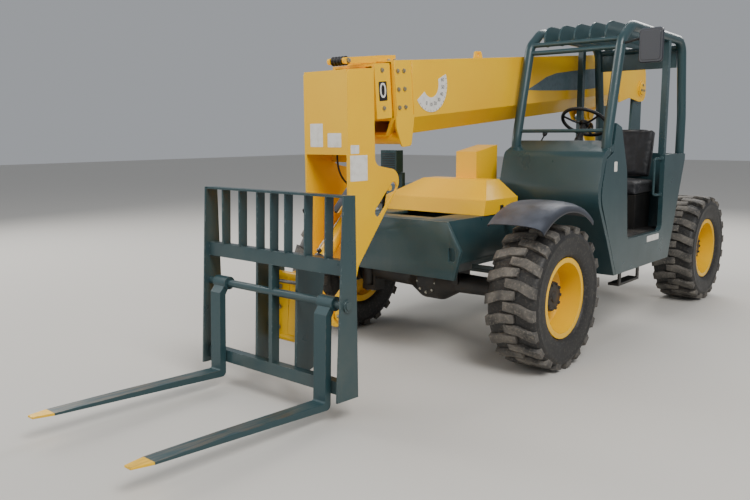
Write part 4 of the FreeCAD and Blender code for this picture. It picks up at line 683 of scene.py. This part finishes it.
# Axles: kingpin caps above and below each knuckle, and the differential's front cover.
KINGPIN_ACROSS, KINGPIN_REACH = 0.7, 0.1585
cap, small_bolt = boss(0.046, 0.010, 0.002), bolt(0.010)
for name, x in (("front_axle", 0.0), ("rear_axle", -WHEEL_BASE)):
    caps = [
        spot(x, side * KINGPIN_ACROSS, AXLE_HEIGHT + way * KINGPIN_REACH) @ facing
        for side in (-1, 1) for way, facing in ((1, SAME), (-1, DOWN))
    ]
    piece(
        name + "_caps", "chassis", black_enamel,
        (cap, *caps), (boss(0.10, 0.012, 0.003), spot(x + 0.128, 0, AXLE_HEIGHT) @ FORWARD),
    )
    piece(
        name + "_bolts", "chassis", zinc_plate,
        (small_bolt, *[cap_place @ at for cap_place in caps for at in ring(4, 0.030, 0.010)]),
        (small_bolt, *[spot(x + 0.140, 0, AXLE_HEIGHT) @ FORWARD @ at for at in ring(8, 0.080)]),
    )

# Steering wheel, its column and the boot at its foot.
RIM_RADIUS, GRIP_RADIUS = 0.1828, 0.0142
circle = [
    (RIM_RADIUS + GRIP_RADIUS * math.cos(angle), GRIP_RADIUS * math.sin(angle))
    for angle in [math.pi * i / 8 for i in range(16)]
]
spoke = bent_bar(
    ((0.036, 0, -0.020), (0.08, 0, -0.022), (0.13, 0, -0.012), (0.176, 0, -0.003)), 0.0085
)
piece(
    "steering_wheel_rim", "chassis", grip_plastic,
    (turned(circle, 96, closed=True), STEERING),
    (spoke, *[STEERING @ turn("Z", angle) for angle in (60, 180, 300)]),
    (turned(((0.0, 0.004), (0.030, 0.003), (0.040, -0.004), (0.043, -0.016), (0.036, -0.030),
             (0.0, -0.030)), 48), STEERING),
    (turned(((0.0, -0.028), (0.024, -0.028), (0.024, -0.150), (0.034, -0.175), (0.030, -0.190),
             (0.040, -0.205), (0.036, -0.220), (0.050, -0.250), (0.0, -0.250)), 48), STEERING),
    slot="grip_plastic", replaces=["steering_wheel"],
)


# Seat: stuffed pads with a crowned face, pulled-in sides and piped seams.
CHANNELS = (-0.42, 0.42)    # sewn from front to back, in shares of the half width
VOXEL = 0.006
CLOTH_FRAMES = 20
LARGEST_PUFF = 0.009
PIPING_RADIUS = 0.0032


def puffed(thing, lowest):
    """Lets the cover swell as cloth under pressure, no further than the foam allows."""
    bpy.context.view_layer.objects.active = thing
    thing.select_set(True)
    remesh = thing.modifiers.new("remesh", "REMESH")
    remesh.mode = "VOXEL"
    remesh.voxel_size = VOXEL
    bpy.ops.object.modifier_apply(modifier="remesh")
    before = [v.co.copy() for v in thing.data.vertices]
    cloth = thing.modifiers.new("cloth", "CLOTH")
    cloth.settings.use_pressure = True
    cloth.settings.uniform_pressure_force = 4
    cloth.settings.effector_weights.gravity = 0
    for step in range(1, CLOTH_FRAMES + 1):
        bpy.context.scene.frame_set(step)
    bpy.ops.object.modifier_apply(modifier="cloth")
    bpy.context.scene.frame_set(1)
    for vert, old in zip(thing.data.vertices, before):
        move = vert.co - old
        if move.length > LARGEST_PUFF:
            vert.co = old + move * (LARGEST_PUFF / move.length)
        vert.co.z = max(vert.co.z, lowest)


def cushion(name, low, high, crown, place, replaces, seam):
    low, high = Vector(low), Vector(high)
    build = box(low, high)
    soften(build, build.edges[:], 0.022, 4)
    bmesh.ops.subdivide_edges(
        build, edges=[e for e in build.edges if e.calc_length() > 0.05], cuts=9,
        use_grid_fill=True,
    )
    bmesh.ops.triangulate(build, faces=[f for f in build.faces if len(f.verts) > 4])
    size, middle = (high - low) / 2, (high + low) / 2
    for vert in build.verts:
        at = vert.co - middle
        u, v = at.x / size.x, at.y / size.y
        dome = max(0.0, 1 - u * u) * max(0.0, 1 - v * v)
        if at.z > 0:
            vert.co.z += crown * (dome ** 0.6 - 0.5)
            for channel in CHANNELS:
                vert.co.z -= 0.010 * math.exp(-((v - channel) / 0.055) ** 2) * min(1, dome * 4)
        pinch = 1 - 0.05 * (1 - (at.z / size.z) ** 2) * (u * u) * (v * v)
        vert.co.x = middle.x + at.x * pinch
        vert.co.y = middle.y + at.y * pinch
    thing = show(name, ready(build))
    puffed(thing, low.z)
    thing.data.transform(place)
    for face in thing.data.polygons:
        face.use_smooth = True
    thing.data.name = name
    thing.data.materials.clear()
    thing.data.materials.append(seat_vinyl)
    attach(thing, "chassis")
    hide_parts(*replaces)
    # piping: a rounded rectangle at the level of the seam
    steps = 32
    reach = Vector((size.x - 0.010, size.y - 0.010))
    points = [
        (middle.x + reach.x * math.copysign(abs(math.cos(angle)) ** 0.35, math.cos(angle)),
         middle.y + reach.y * math.copysign(abs(math.sin(angle)) ** 0.35, math.sin(angle)), seam)
        for angle in [2 * math.pi * (i + 0.5) / steps for i in range(steps)]
    ]
    piece(
        name + "_piping", "chassis", black_plastic,
        (bent_bar(points, PIPING_RADIUS, cyclic=True), place),
    )


cushion(
    "seat_pad", (-0.222, -0.232, 0.004), (0.222, 0.232, 0.112), 0.018,
    spot(-1.91, CAB_MIDDLE, 1.1003), ["seat_cushion"], 0.086,
)
cushion(
    "seat_backrest", (-0.222, -0.206, -0.036), (0.222, 0.206, 0.040), 0.018,
    spot(-2.0975, CAB_MIDDLE, 1.45, 76), ["seat_back"], 0.022,
)

# Dash: gauges, rocker switches and the boom lever.
bezel = turned(
    ((0.026, 0.0), (0.033, 0.0), (0.033, 0.006), (0.030, 0.010), (0.026, 0.007)), 40, True
)
gauges = [DASH @ shift(0.0, y, 0.0005) for y in (-0.24, -0.165, 0.165)]
piece(
    "dash_bezels", "chassis", black_plastic,
    (bezel, *gauges),
    (block((-0.016, -0.009, 0), (0.016, 0.009, 0.010), 0.003),
     *[DASH @ shift(0.0, y, 0.0) for y in (0.225, 0.25, 0.275)]),
    (bent_bar(((0, 0, 0), (0, 0, 0.05), (-0.012, 0, 0.09), (-0.015, 0, 0.11)), 0.006),
     DASH @ shift(0.0, -0.31, 0)),
    (turned(((0, 0.150), (0.014, 0.147), (0.021, 0.135), (0.019, 0.118), (0.010, 0.104),
             (0, 0.104)), 32), DASH @ shift(-0.014, -0.31, 0)),
)
piece(
    "dash_dials", "chassis", white_label,
    (boss(0.0265, 0.003, 0.0005), *gauges),
)
needle = block((-0.0012, -0.002, 0.0032), (0.020, 0.002, 0.0042), 0.0003, 1)
piece(
    "dash_needles", "chassis", black_print,
    (needle, *[at @ turn("Z", angle) for at, angle in zip(gauges, (130, 60, 200))]),
    (block((0.018, -0.0006, 0.0031), (0.024, 0.0006, 0.0036), 0),
     *[at @ turn("Z", angle) for at in gauges for angle in range(-45, 230, 30)]),
)

# Cab: mat, pedals, grab handle and mirror.
piece(
    "floor_mat", "chassis", floor_rubber,
    (block((-1.665, 0.30, 0.8002), (-0.96, 1.015, 0.805), 0.001, 1), GROUND),
    (block((-1.655, -0.004, 0.8045), (-0.97, 0.004, 0.808), 0.0015, 1),
     *[spot(0, 0.315 + 0.02 * i, 0) for i in range(35)]),
)
pedal = block((-0.008, -0.045, -0.055), (0.008, 0.045, 0.055), 0.006, 3)
piece(
    "pedals", "chassis", black_plastic,
    (pedal, *[spot(-1.045, y, 0.905, 35) for y in (0.50, 0.80)]),
    (bent_bar(((0, 0, 0), (0.03, 0, 0.02), (0.06, 0, 0.06), (0.085, 0, 0.06)), 0.008),
     *[spot(-1.045, y, 0.905) for y in (0.50, 0.80)]),
)
piece(
    "grab_handle", "chassis", slate_enamel,
    (bent_bar(((-1.812, 1.048, 1.105), (-1.785, 1.045, 1.105), (-1.742, 1.015, 1.105),
               (-1.742, 1.015, 1.14), (-1.742, 1.015, 1.38), (-1.742, 1.015, 1.415),
               (-1.785, 1.045, 1.415), (-1.812, 1.048, 1.415)), 0.011), GROUND),
    (boss(0.022, 0.004, 0.001), *[spot(-1.8098, 1.048, z) @ FORWARD for z in (1.105, 1.415)]),
)
MIRROR = spot(-0.856, 1.279, 2.268) @ turn("Z", 90)
piece(
    "mirror_case", "chassis", fender_plastic,
    (card(0.180, 0.248, 0.020, 0.03, 0.006), MIRROR),
    (card(0.142, 0.210, 0.004, 0.02, 0.0018), MIRROR @ shift(0, -0.0038, 0)),
    slot="fender_plastic", replaces=["mirror"],
)
piece(
    "mirror_arm", "chassis", black_enamel,
    (bent_bar(((-0.882, 1.068, 2.30), (-0.882, 1.10, 2.305), (-0.884, 1.16, 2.32),
               (-0.884, 1.22, 2.325), (-0.884, 1.30, 2.325)), 0.0095), GROUND),
    (boss(0.021, 0.012, 0.002), spot(-0.882, 1.060, 2.30) @ LEFT),
    (block((-0.010, -0.022, -0.030), (0.006, 0.022, 0.030), 0.004),
     spot(-0.878, 1.279, 2.325)),
)
piece(
    "mirror_pane", "chassis", mirror_glass,
    (card(0.160, 0.228, 0.0018, 0.024), MIRROR @ shift(0, 0.0201, 0)),
)

# Fenders: a crowned shell with a rolled outer lip, on a bracket from the box.
fender_profile = (
    (0.632, 0.702), (0.645, 0.701), (0.654, 0.708), (0.662, 0.735), (0.668, 0.790), (0.6715, 0.860),
    (0.6715, 0.940), (0.668, 1.010), (0.660, 1.065), (0.648, 1.098), (0.630, 1.112), (0.604, 1.118),
    (0.596, 1.116), (0.597, 1.111), (0.628, 1.106), (0.643, 1.092), (0.654, 1.062), (0.662, 1.008),
    (0.6655, 0.940), (0.6655, 0.860), (0.662, 0.792), (0.656, 0.740), (0.649, 0.713),
    (0.644, 0.707), (0.633, 0.708),
)
FENDER_REACH = math.radians(37)    # to each side of the top
shell = bmesh.new()
face = shell.faces.new([
    shell.verts.new((radius * math.sin(FENDER_REACH), across, radius * math.cos(FENDER_REACH)))
    for radius, across in fender_profile
])
bmesh.ops.spin(
    shell, geom=[face, *face.edges, *face.verts], cent=(0, 0, 0), axis=(0, -1, 0),
    dvec=(0, 0, 0), angle=2 * FENDER_REACH, steps=28, use_merge=False, use_duplicate=False,
)
left_shell = ready(shell)
right_shell = left_shell.copy()
right_shell.transform(Matrix.Scale(-1, 4, (0, 1, 0)))
right_shell.flip_normals()
AXLE = spot(0, 0, AXLE_HEIGHT)
piece(
    "fender_shells", "chassis", fender_plastic,
    (left_shell, AXLE), (right_shell, AXLE),
    slot="fender_plastic", replaces=["front_fenders"],
)
bracket = (
    (0.466, 0.995), (0.716, 0.995), (0.722, 1.001), (0.722, 1.150), (0.702, 1.150), (0.702, 1.035),
    (0.466, 1.035),
)
piece(
    "fender_brackets", "chassis", black_enamel,
    (plate(bracket, 0.040, 0.002),
     spot(-0.190, 0, 0) @ turn("Z", 90), spot(-0.230, 0, 0) @ turn("Z", -90)),
)
rivet = boss(0.009, 0.004, 0.0015, 16, 0.006)
piece(
    "fender_rivets", "chassis", zinc_plate,
    (rivet, *[
        AXLE @ turn("Y", angle) @ shift(0, side * 0.730, 0.661)
        for side in (-1, 1) for angle in (-22, -18)
    ]),
)

# Front box: its face plate stands out past the walls, with a hand hole each side.
face_outline = [
    (-0.488, 1.045), (-0.604, 0.852), (-0.550, 0.648), (0.550, 0.648), (0.604, 0.852),
    (0.488, 1.045),
]
hand_hole = [
    (0.504, 0.775), (0.544, 0.775), (0.562, 0.795), (0.562, 0.850), (0.544, 0.870), (0.504, 0.870),
]
build = bmesh.new()
rims = []
for loop in (face_outline, hand_hole, [(-y, z) for y, z in hand_hole]):
    corners = [build.verts.new((0, y, z)) for y, z in loop]
    rims += [build.edges.new(pair) for pair in zip(corners, corners[1:] + corners[:1])]
bmesh.ops.triangle_fill(build, edges=rims, use_beauty=True)
draw_out(build, build.faces[:], (0.028, 0, 0))
bmesh.ops.dissolve_limit(
    build, angle_limit=0.02, verts=build.verts, edges=build.edges, delimit={"NORMAL"}
)
soften(build, [e for e in build.edges if e.calc_face_angle(0) > 0.3], 0.002, 2)
# both sides' wall, top, back and lower flange, then the top between them: two corners each
box_walls = [
    ((x0, min(side * near, side * far), z0), (x1, max(side * near, side * far), z1))
    for side in (-1, 1) for x0, x1, near, far, z0, z1 in (
        (-0.400, 0.534, 0.448, 0.466, 0.740, 1.045),
        (-0.400, 0.534, 0.236, 0.450, 1.023, 1.045),
        (-0.400, -0.380, 0.236, 0.450, 0.740, 1.015),
        (-0.400, 0.534, 0.430, 0.466, 0.728, 0.744),
    )
]
box_walls.append(((0.360, -0.236, 1.023), (0.534, 0.236, 1.045)))
piece(
    "front_box_plates", "chassis", slate_enamel, (ready(build), spot(0.532, 0, 0)),
    *[(block(low, high, 0.002), GROUND) for low, high in box_walls],
    slot="green_paint", replaces=["front_box"],
)

# Boom head: flanges welded to the collar's sides.
flange = block((0, 0, 0.004), (0.008, 0.0060, 0.356), 0.0015, 1)
piece(
    "collar_flanges", "boom", yellow_enamel,
    (flange, *[BOOM @ shift(x, y, 0) for y in (0.2068, -0.2128) for x in (3.993, 4.178)]),
)

# Cab: blank plates on the left post and on the sill.
CAB_FACE = 1.0782
piece(
    "cab_blank_plates", "chassis", white_label,
    (card(0.055, 0.075), spot(-0.800, CAB_FACE, 1.385)),
    (card(0.26, 0.05), spot(-1.62, CAB_FACE, 0.755)),
)

# Boom: pad bolts, pin retainers, sheaves, dial, extension mark and stripe.
COLLAR_SIDE, STAGE_SIDE, PIVOT_SIDE = 0.2072, 0.1852, 0.2075
pad_bolt = bolt(0.014)
boom_spots = [
    BOOM @ shift(x, side * COLLAR_SIDE, z) @ facing
    for facing, side in SIDES for x in (4.085, 4.15) for z in (0.055, 0.175, 0.295)
] + [BOOM @ shift(x, y, 0.3652) for x in (4.085, 4.15) for y in (-0.135, 0.135)]
piece("boom_pad_bolts", "boom", zinc_plate, (pad_bolt, *boom_spots))
middle_spots = [
    BOOM @ shift(4.285, side * STAGE_SIDE, z) @ facing
    for facing, side in SIDES for z in (0.06, 0.305)
]
piece("middle_pad_bolts", "boom_middle", zinc_plate, (pad_bolt, *middle_spots))
pivot_ends = [spot(-3.42, side * PIVOT_SIDE, 2.1) @ facing for facing, side in SIDES]
piece("pivot_retainers", "chassis", yellow_enamel, (boss(0.064, 0.010, 0.002), *pivot_ends))
piece(
    "pivot_bolts", "chassis", zinc_plate,
    (pad_bolt, *[end @ at for end in pivot_ends for at in ring(3, 0.036, 0.010, 0.5)]),
)
# four grooves side by side, each from flange to flange
GROOVE_WIDTH = 0.028
SHEAVE_HALF = 2 * GROOVE_WIDTH
grooves = [(0.0, -SHEAVE_HALF)] + [
    (radius, -SHEAVE_HALF + GROOVE_WIDTH * i + across)
    for i in range(4) for radius, across in (
        (0.030, 0.001), (0.030, 0.004), (0.021, 0.009), (0.021, 0.019), (0.030, 0.024),
        (0.030, 0.027),
    )
] + [(0.0, SHEAVE_HALF)]
piece(
    "hose_sheaves", "boom", black_plastic,
    (turned(grooves, 40), BOOM @ shift(4.482, 0, 0.377) @ LEFT), slot="fender_plastic",
)
piece(
    "sheave_nuts", "boom", zinc_plate,
    (bolt(0.016), *[BOOM @ shift(4.482, side * 0.0752, 0.377) @ facing for facing, side in SIDES]),
)

# dial: a printed arc, figures from 60 down to 0 every ten degrees of boom, and ticks between
DIAL = spot(0.355, 0.1952, 1.985)
DIAL_START, DIAL_SWEEP = math.radians(156), math.radians(168)
FIRST_FIGURE, FIGURE_STEP = 165, 21
build = bmesh.new()
rim_spots = [
    build.verts.new((radius * math.cos(DIAL_START), 0, radius * math.sin(DIAL_START)))
    for radius in (0.092, 0.194)
]
bmesh.ops.spin(
    build, geom=rim_spots + [build.edges.new(rim_spots)], cent=(0, 0, 0), axis=(0, -1, 0),
    dvec=(0, 0, 0), angle=DIAL_SWEEP, steps=36, use_merge=False, use_duplicate=False,
)
draw_out(build, build.faces[:], (0, 0.003, 0))
piece("boom_angle_dial", "boom", white_label, (ready(build), DIAL))
marks = [
    DIAL @ turn("Y", -FIRST_FIGURE - FIGURE_STEP / 2 * i) @ shift((0.188, 0.1905)[i % 2], 0.0031, 0)
    for i in range(15)
]
tick = block((-0.009, 0, -0.0012), (0.006, 0.0005, 0.0012), 0)
figures = []
for i in range(7):
    angle = math.radians(FIRST_FIGURE + FIGURE_STEP * i)
    place = DIAL @ shift(0.142 * math.cos(angle), 0.0034, 0.142 * math.sin(angle))
    figures.append((digits(str(60 - 10 * i), 0.036), place))
piece("boom_angle_marks", "boom", black_print, (tick, *marks), *figures)

MARK = BOOM @ shift(4.285, STAGE_SIDE, 0.17)
piece("extension_mark_ground", "boom_middle", black_print, (card(0.082, 0.125), MARK))
piece(
    "extension_mark", "boom_middle", white_label, (digits("0", 0.14), MARK @ shift(0, 0.0012, 0))
)
stripe = (
    (-0.99, 1.995), (-1.15, 2.052), (-1.32, 2.118), (-1.50, 2.160), (-1.80, 2.196),
    (-2.15, 2.232), (-2.30, 2.245), (-2.30, 2.062), (-2.02, 2.036), (-1.60, 2.014),
    (-1.20, 1.999),
)
piece(
    "boom_side_stripes", "boom", slate_film,
    (plate(stripe, 0.0006, 0), spot(0, 0.1951, 0), spot(0, -0.1957, 0)),
)

# Nose: pin retainers, blank plates and the tilt hoses.
nose_ends = [PIN @ shift(0, side * 0.2035, 0) @ facing for facing, side in SIDES]
piece("tilt_pin_retainers", "boom_fly", yellow_enamel, (boss(0.046, 0.010, 0.002), *nose_ends))
piece(
    "tilt_pin_bolts", "boom_fly", zinc_plate,
    (small_bolt, *[end @ at for end in nose_ends for at in ring(3, 0.026, 0.010, 0.4)]),
)
NOSE_FRONT = NOSE @ shift(0.0202, 0, 0) @ turn("Z", -90)
piece(
    "nose_blank_plates", "boom_fly", white_label,
    *[(card(width, height, corner=0.005), place) for width, height, place in (
        (0.115, 0.150, NOSE_FRONT @ shift(0.082, 0, -0.259)),
        (0.120, 0.090, NOSE_FRONT @ shift(-0.078, 0, -0.290)),
        (0.165, 0.165, spot(1.118, 0.1952, 1.425)),
        (0.080, 0.055, spot(1.155, 0.1952, 1.545)),
    )],
)
HOSE_LENGTH, HOSE_THICKNESS = 0.5, 0.014
for name, y in (("tilt_hose_left", 0.062), ("tilt_hose_right", -0.062)):
    hose(
        name, "boom_fly", NOSE,
        ((-0.195, y, -0.150), (-0.195, y, -0.22), (-0.150, y, -0.34), (-0.150, y, -0.46),
         (-0.200, y, -0.56), (-0.255, y * 0.6, -0.605)),
        HOSE_THICKNESS,
    )

# Cylinders: gland rings, ports and the hard line along each barrel.
for name, place, radius, rod, length in (
    ("lift", LIFT, 0.062, 0.036, 1.071), ("tilt", TILT, 0.048, 0.026, 0.6766),
):
    gland = turned((
        (rod + 0.0015, 0.0), (radius + 0.001, 0.0), (radius + 0.006, 0.003),
        (radius + 0.006, 0.030), (radius - 0.004, 0.036), (rod + 0.006, 0.038),
        (rod + 0.0015, 0.034),
    ), 56, True)
    port = boss(0.015, 0.024, 0.003, 24)
    line = bent_bar((
        (0.13, 0, radius + 0.018), (0.16, 0, radius + 0.024), (0.25, 0, radius + 0.016),
        (length - 0.15, 0, radius + 0.016), (length - 0.08, 0, radius + 0.024),
        (length - 0.05, 0, radius + 0.016),
    ), 0.006)
    ports = [place @ shift(x, 0, radius - 0.003) for x in (0.13, length - 0.05)]
    piece(
        name + "_gland", name + "_barrel", black_enamel,
        (gland, place @ shift(length - 0.034, 0, 0) @ FORWARD), (port, *ports),
    )
    piece(name + "_hard_line", name + "_barrel", zinc_plate, (line, place))

# Carriage: coupler bolts and lock bar.
piece(
    "coupler_bolts", "carriage", zinc_plate,
    (pad_bolt, *[
        PIN @ shift(0.2215 - 0.1 * z, y, z) @ turn("Y", 84.3)
        for y in (-0.115, 0.115) for z in (-0.09, 0.04, 0.17)
    ]),
)
piece(
    "coupler_lock_bar", "carriage", worn_steel,
    (bent_bar(((-0.21, -0.172, 0.66), (-0.21, 0.10, 0.66), (-0.21, 0.172, 0.66)), 0.011),
     CARRIAGE),
)

# Engine side: louvre blades, hood handle, intake grille, tail pipe.
blade = block((-0.041, -0.014, -0.0015), (0.041, 0.014, 0.0015), 0.0006, 1)
piece(
    "louvre_blades", "chassis", slate_enamel,
    (blade, *[
        spot(-1.90 + 0.13 * i, -1.0175, 0.776 + 0.027 * j) @ turn("X", 38)
        for i in range(6) for j in range(8)
    ]),
)
piece(
    "hood_handle", "engine_hood", black_plastic,
    (bent_bar(((-0.07, 0, 0), (-0.07, -0.020, 0), (-0.05, -0.034, 0), (0.05, -0.034, 0),
               (0.07, -0.020, 0), (0.07, 0, 0)), 0.008), spot(-1.25, -1.0295, 1.128)),
)
piece(
    "intake_grille", "chassis", black_plastic,
    (block((0, -0.070, -0.004), (0.004, 0.070, 0.004), 0.0015, 1), *[
        spot(-0.3122, -0.7500, 1.33 + 0.02 * i) for i in range(8)
    ]),
)
piece(
    "tail_pipe", "chassis", worn_steel,
    (bent_bar(((-2.236, -0.56, 0.985), (-2.27, -0.56, 0.985), (-2.305, -0.56, 0.985),
               (-2.312, -0.56, 0.950), (-2.314, -0.56, 0.915)), 0.024), GROUND),
)

# Hood latches and tail lamps.
latch = block((-0.018, 0, -0.035), (0.018, 0.012, 0.035), 0.005, 3)
piece(
    "hood_latches", "chassis", black_plastic,
    (latch, spot(-0.16, 0.4738, 1.075), spot(-0.16, -0.4738, 1.075) @ turn("Z", 180)),
)
lamp_body = block((-0.022, -0.060, 0.0), (0.022, 0.060, 0.075), 0.006, 3)
piece(
    "tail_lamp_bodies", "chassis", black_plastic,
    (lamp_body, *[spot(-3.555, y, 0.9898) for y in (-0.38, 0.38)]),
)
lens = boss(0.026, 0.008, 0.003, 32)
for name, acrylic, across in (
    ("tail_lamp_lenses", lamp_red, 0.41), ("reversing_lamp_lenses", lamp_clear, 0.35),
):
    piece(
        name, "chassis", acrylic,
        (lens, *[spot(-3.5765, y, 1.028) @ BACKWARD for y in (-across, across)]),
    )

# Stage: pale floor, soft studio light.
FLOOR_HALF = 40
build = bmesh.new()
bmesh.ops.create_grid(build, x_segments=1, y_segments=1, size=FLOOR_HALF)
floor = show("floor", ready(build))
concrete, node, place = start("pale_floor")
node("OutputMaterial", {
    "Surface": node("BsdfPrincipled", {"Base Color": "CFCCC6", "Roughness": 0.85}),
})
floor.data.materials.append(concrete)

world = bpy.data.worlds.new("studio")
bpy.context.scene.world = world
world.use_nodes = True
sky = world.node_tree.nodes["Background"].inputs
sky["Color"].default_value = linear("E4E8EE")
sky["Strength"].default_value = 0.46

# name, place, size, power; all look at a spot one metre above the origin
AIM = Vector((0, 0, 1))
LIGHTS = (
    ("key_light", (4.0, 6.5, 8.0), 4.0, 760),
    ("fill_light", (9.0, -3.0, 4.0), 6.0, 220),
    ("side_light", (1.5, -9.0, 5.5), 6.0, 520),
    ("back_light", (-8.0, -1.0, 6.5), 5.0, 560),
)
for name, at, size, power in LIGHTS:
    lamp = bpy.data.lights.new(name, "AREA")
    lamp.size = size
    lamp.energy = power
    lamp.color = (1.0, 0.98, 0.95)
    aim(show(name, lamp), at, AIM - Vector(at))
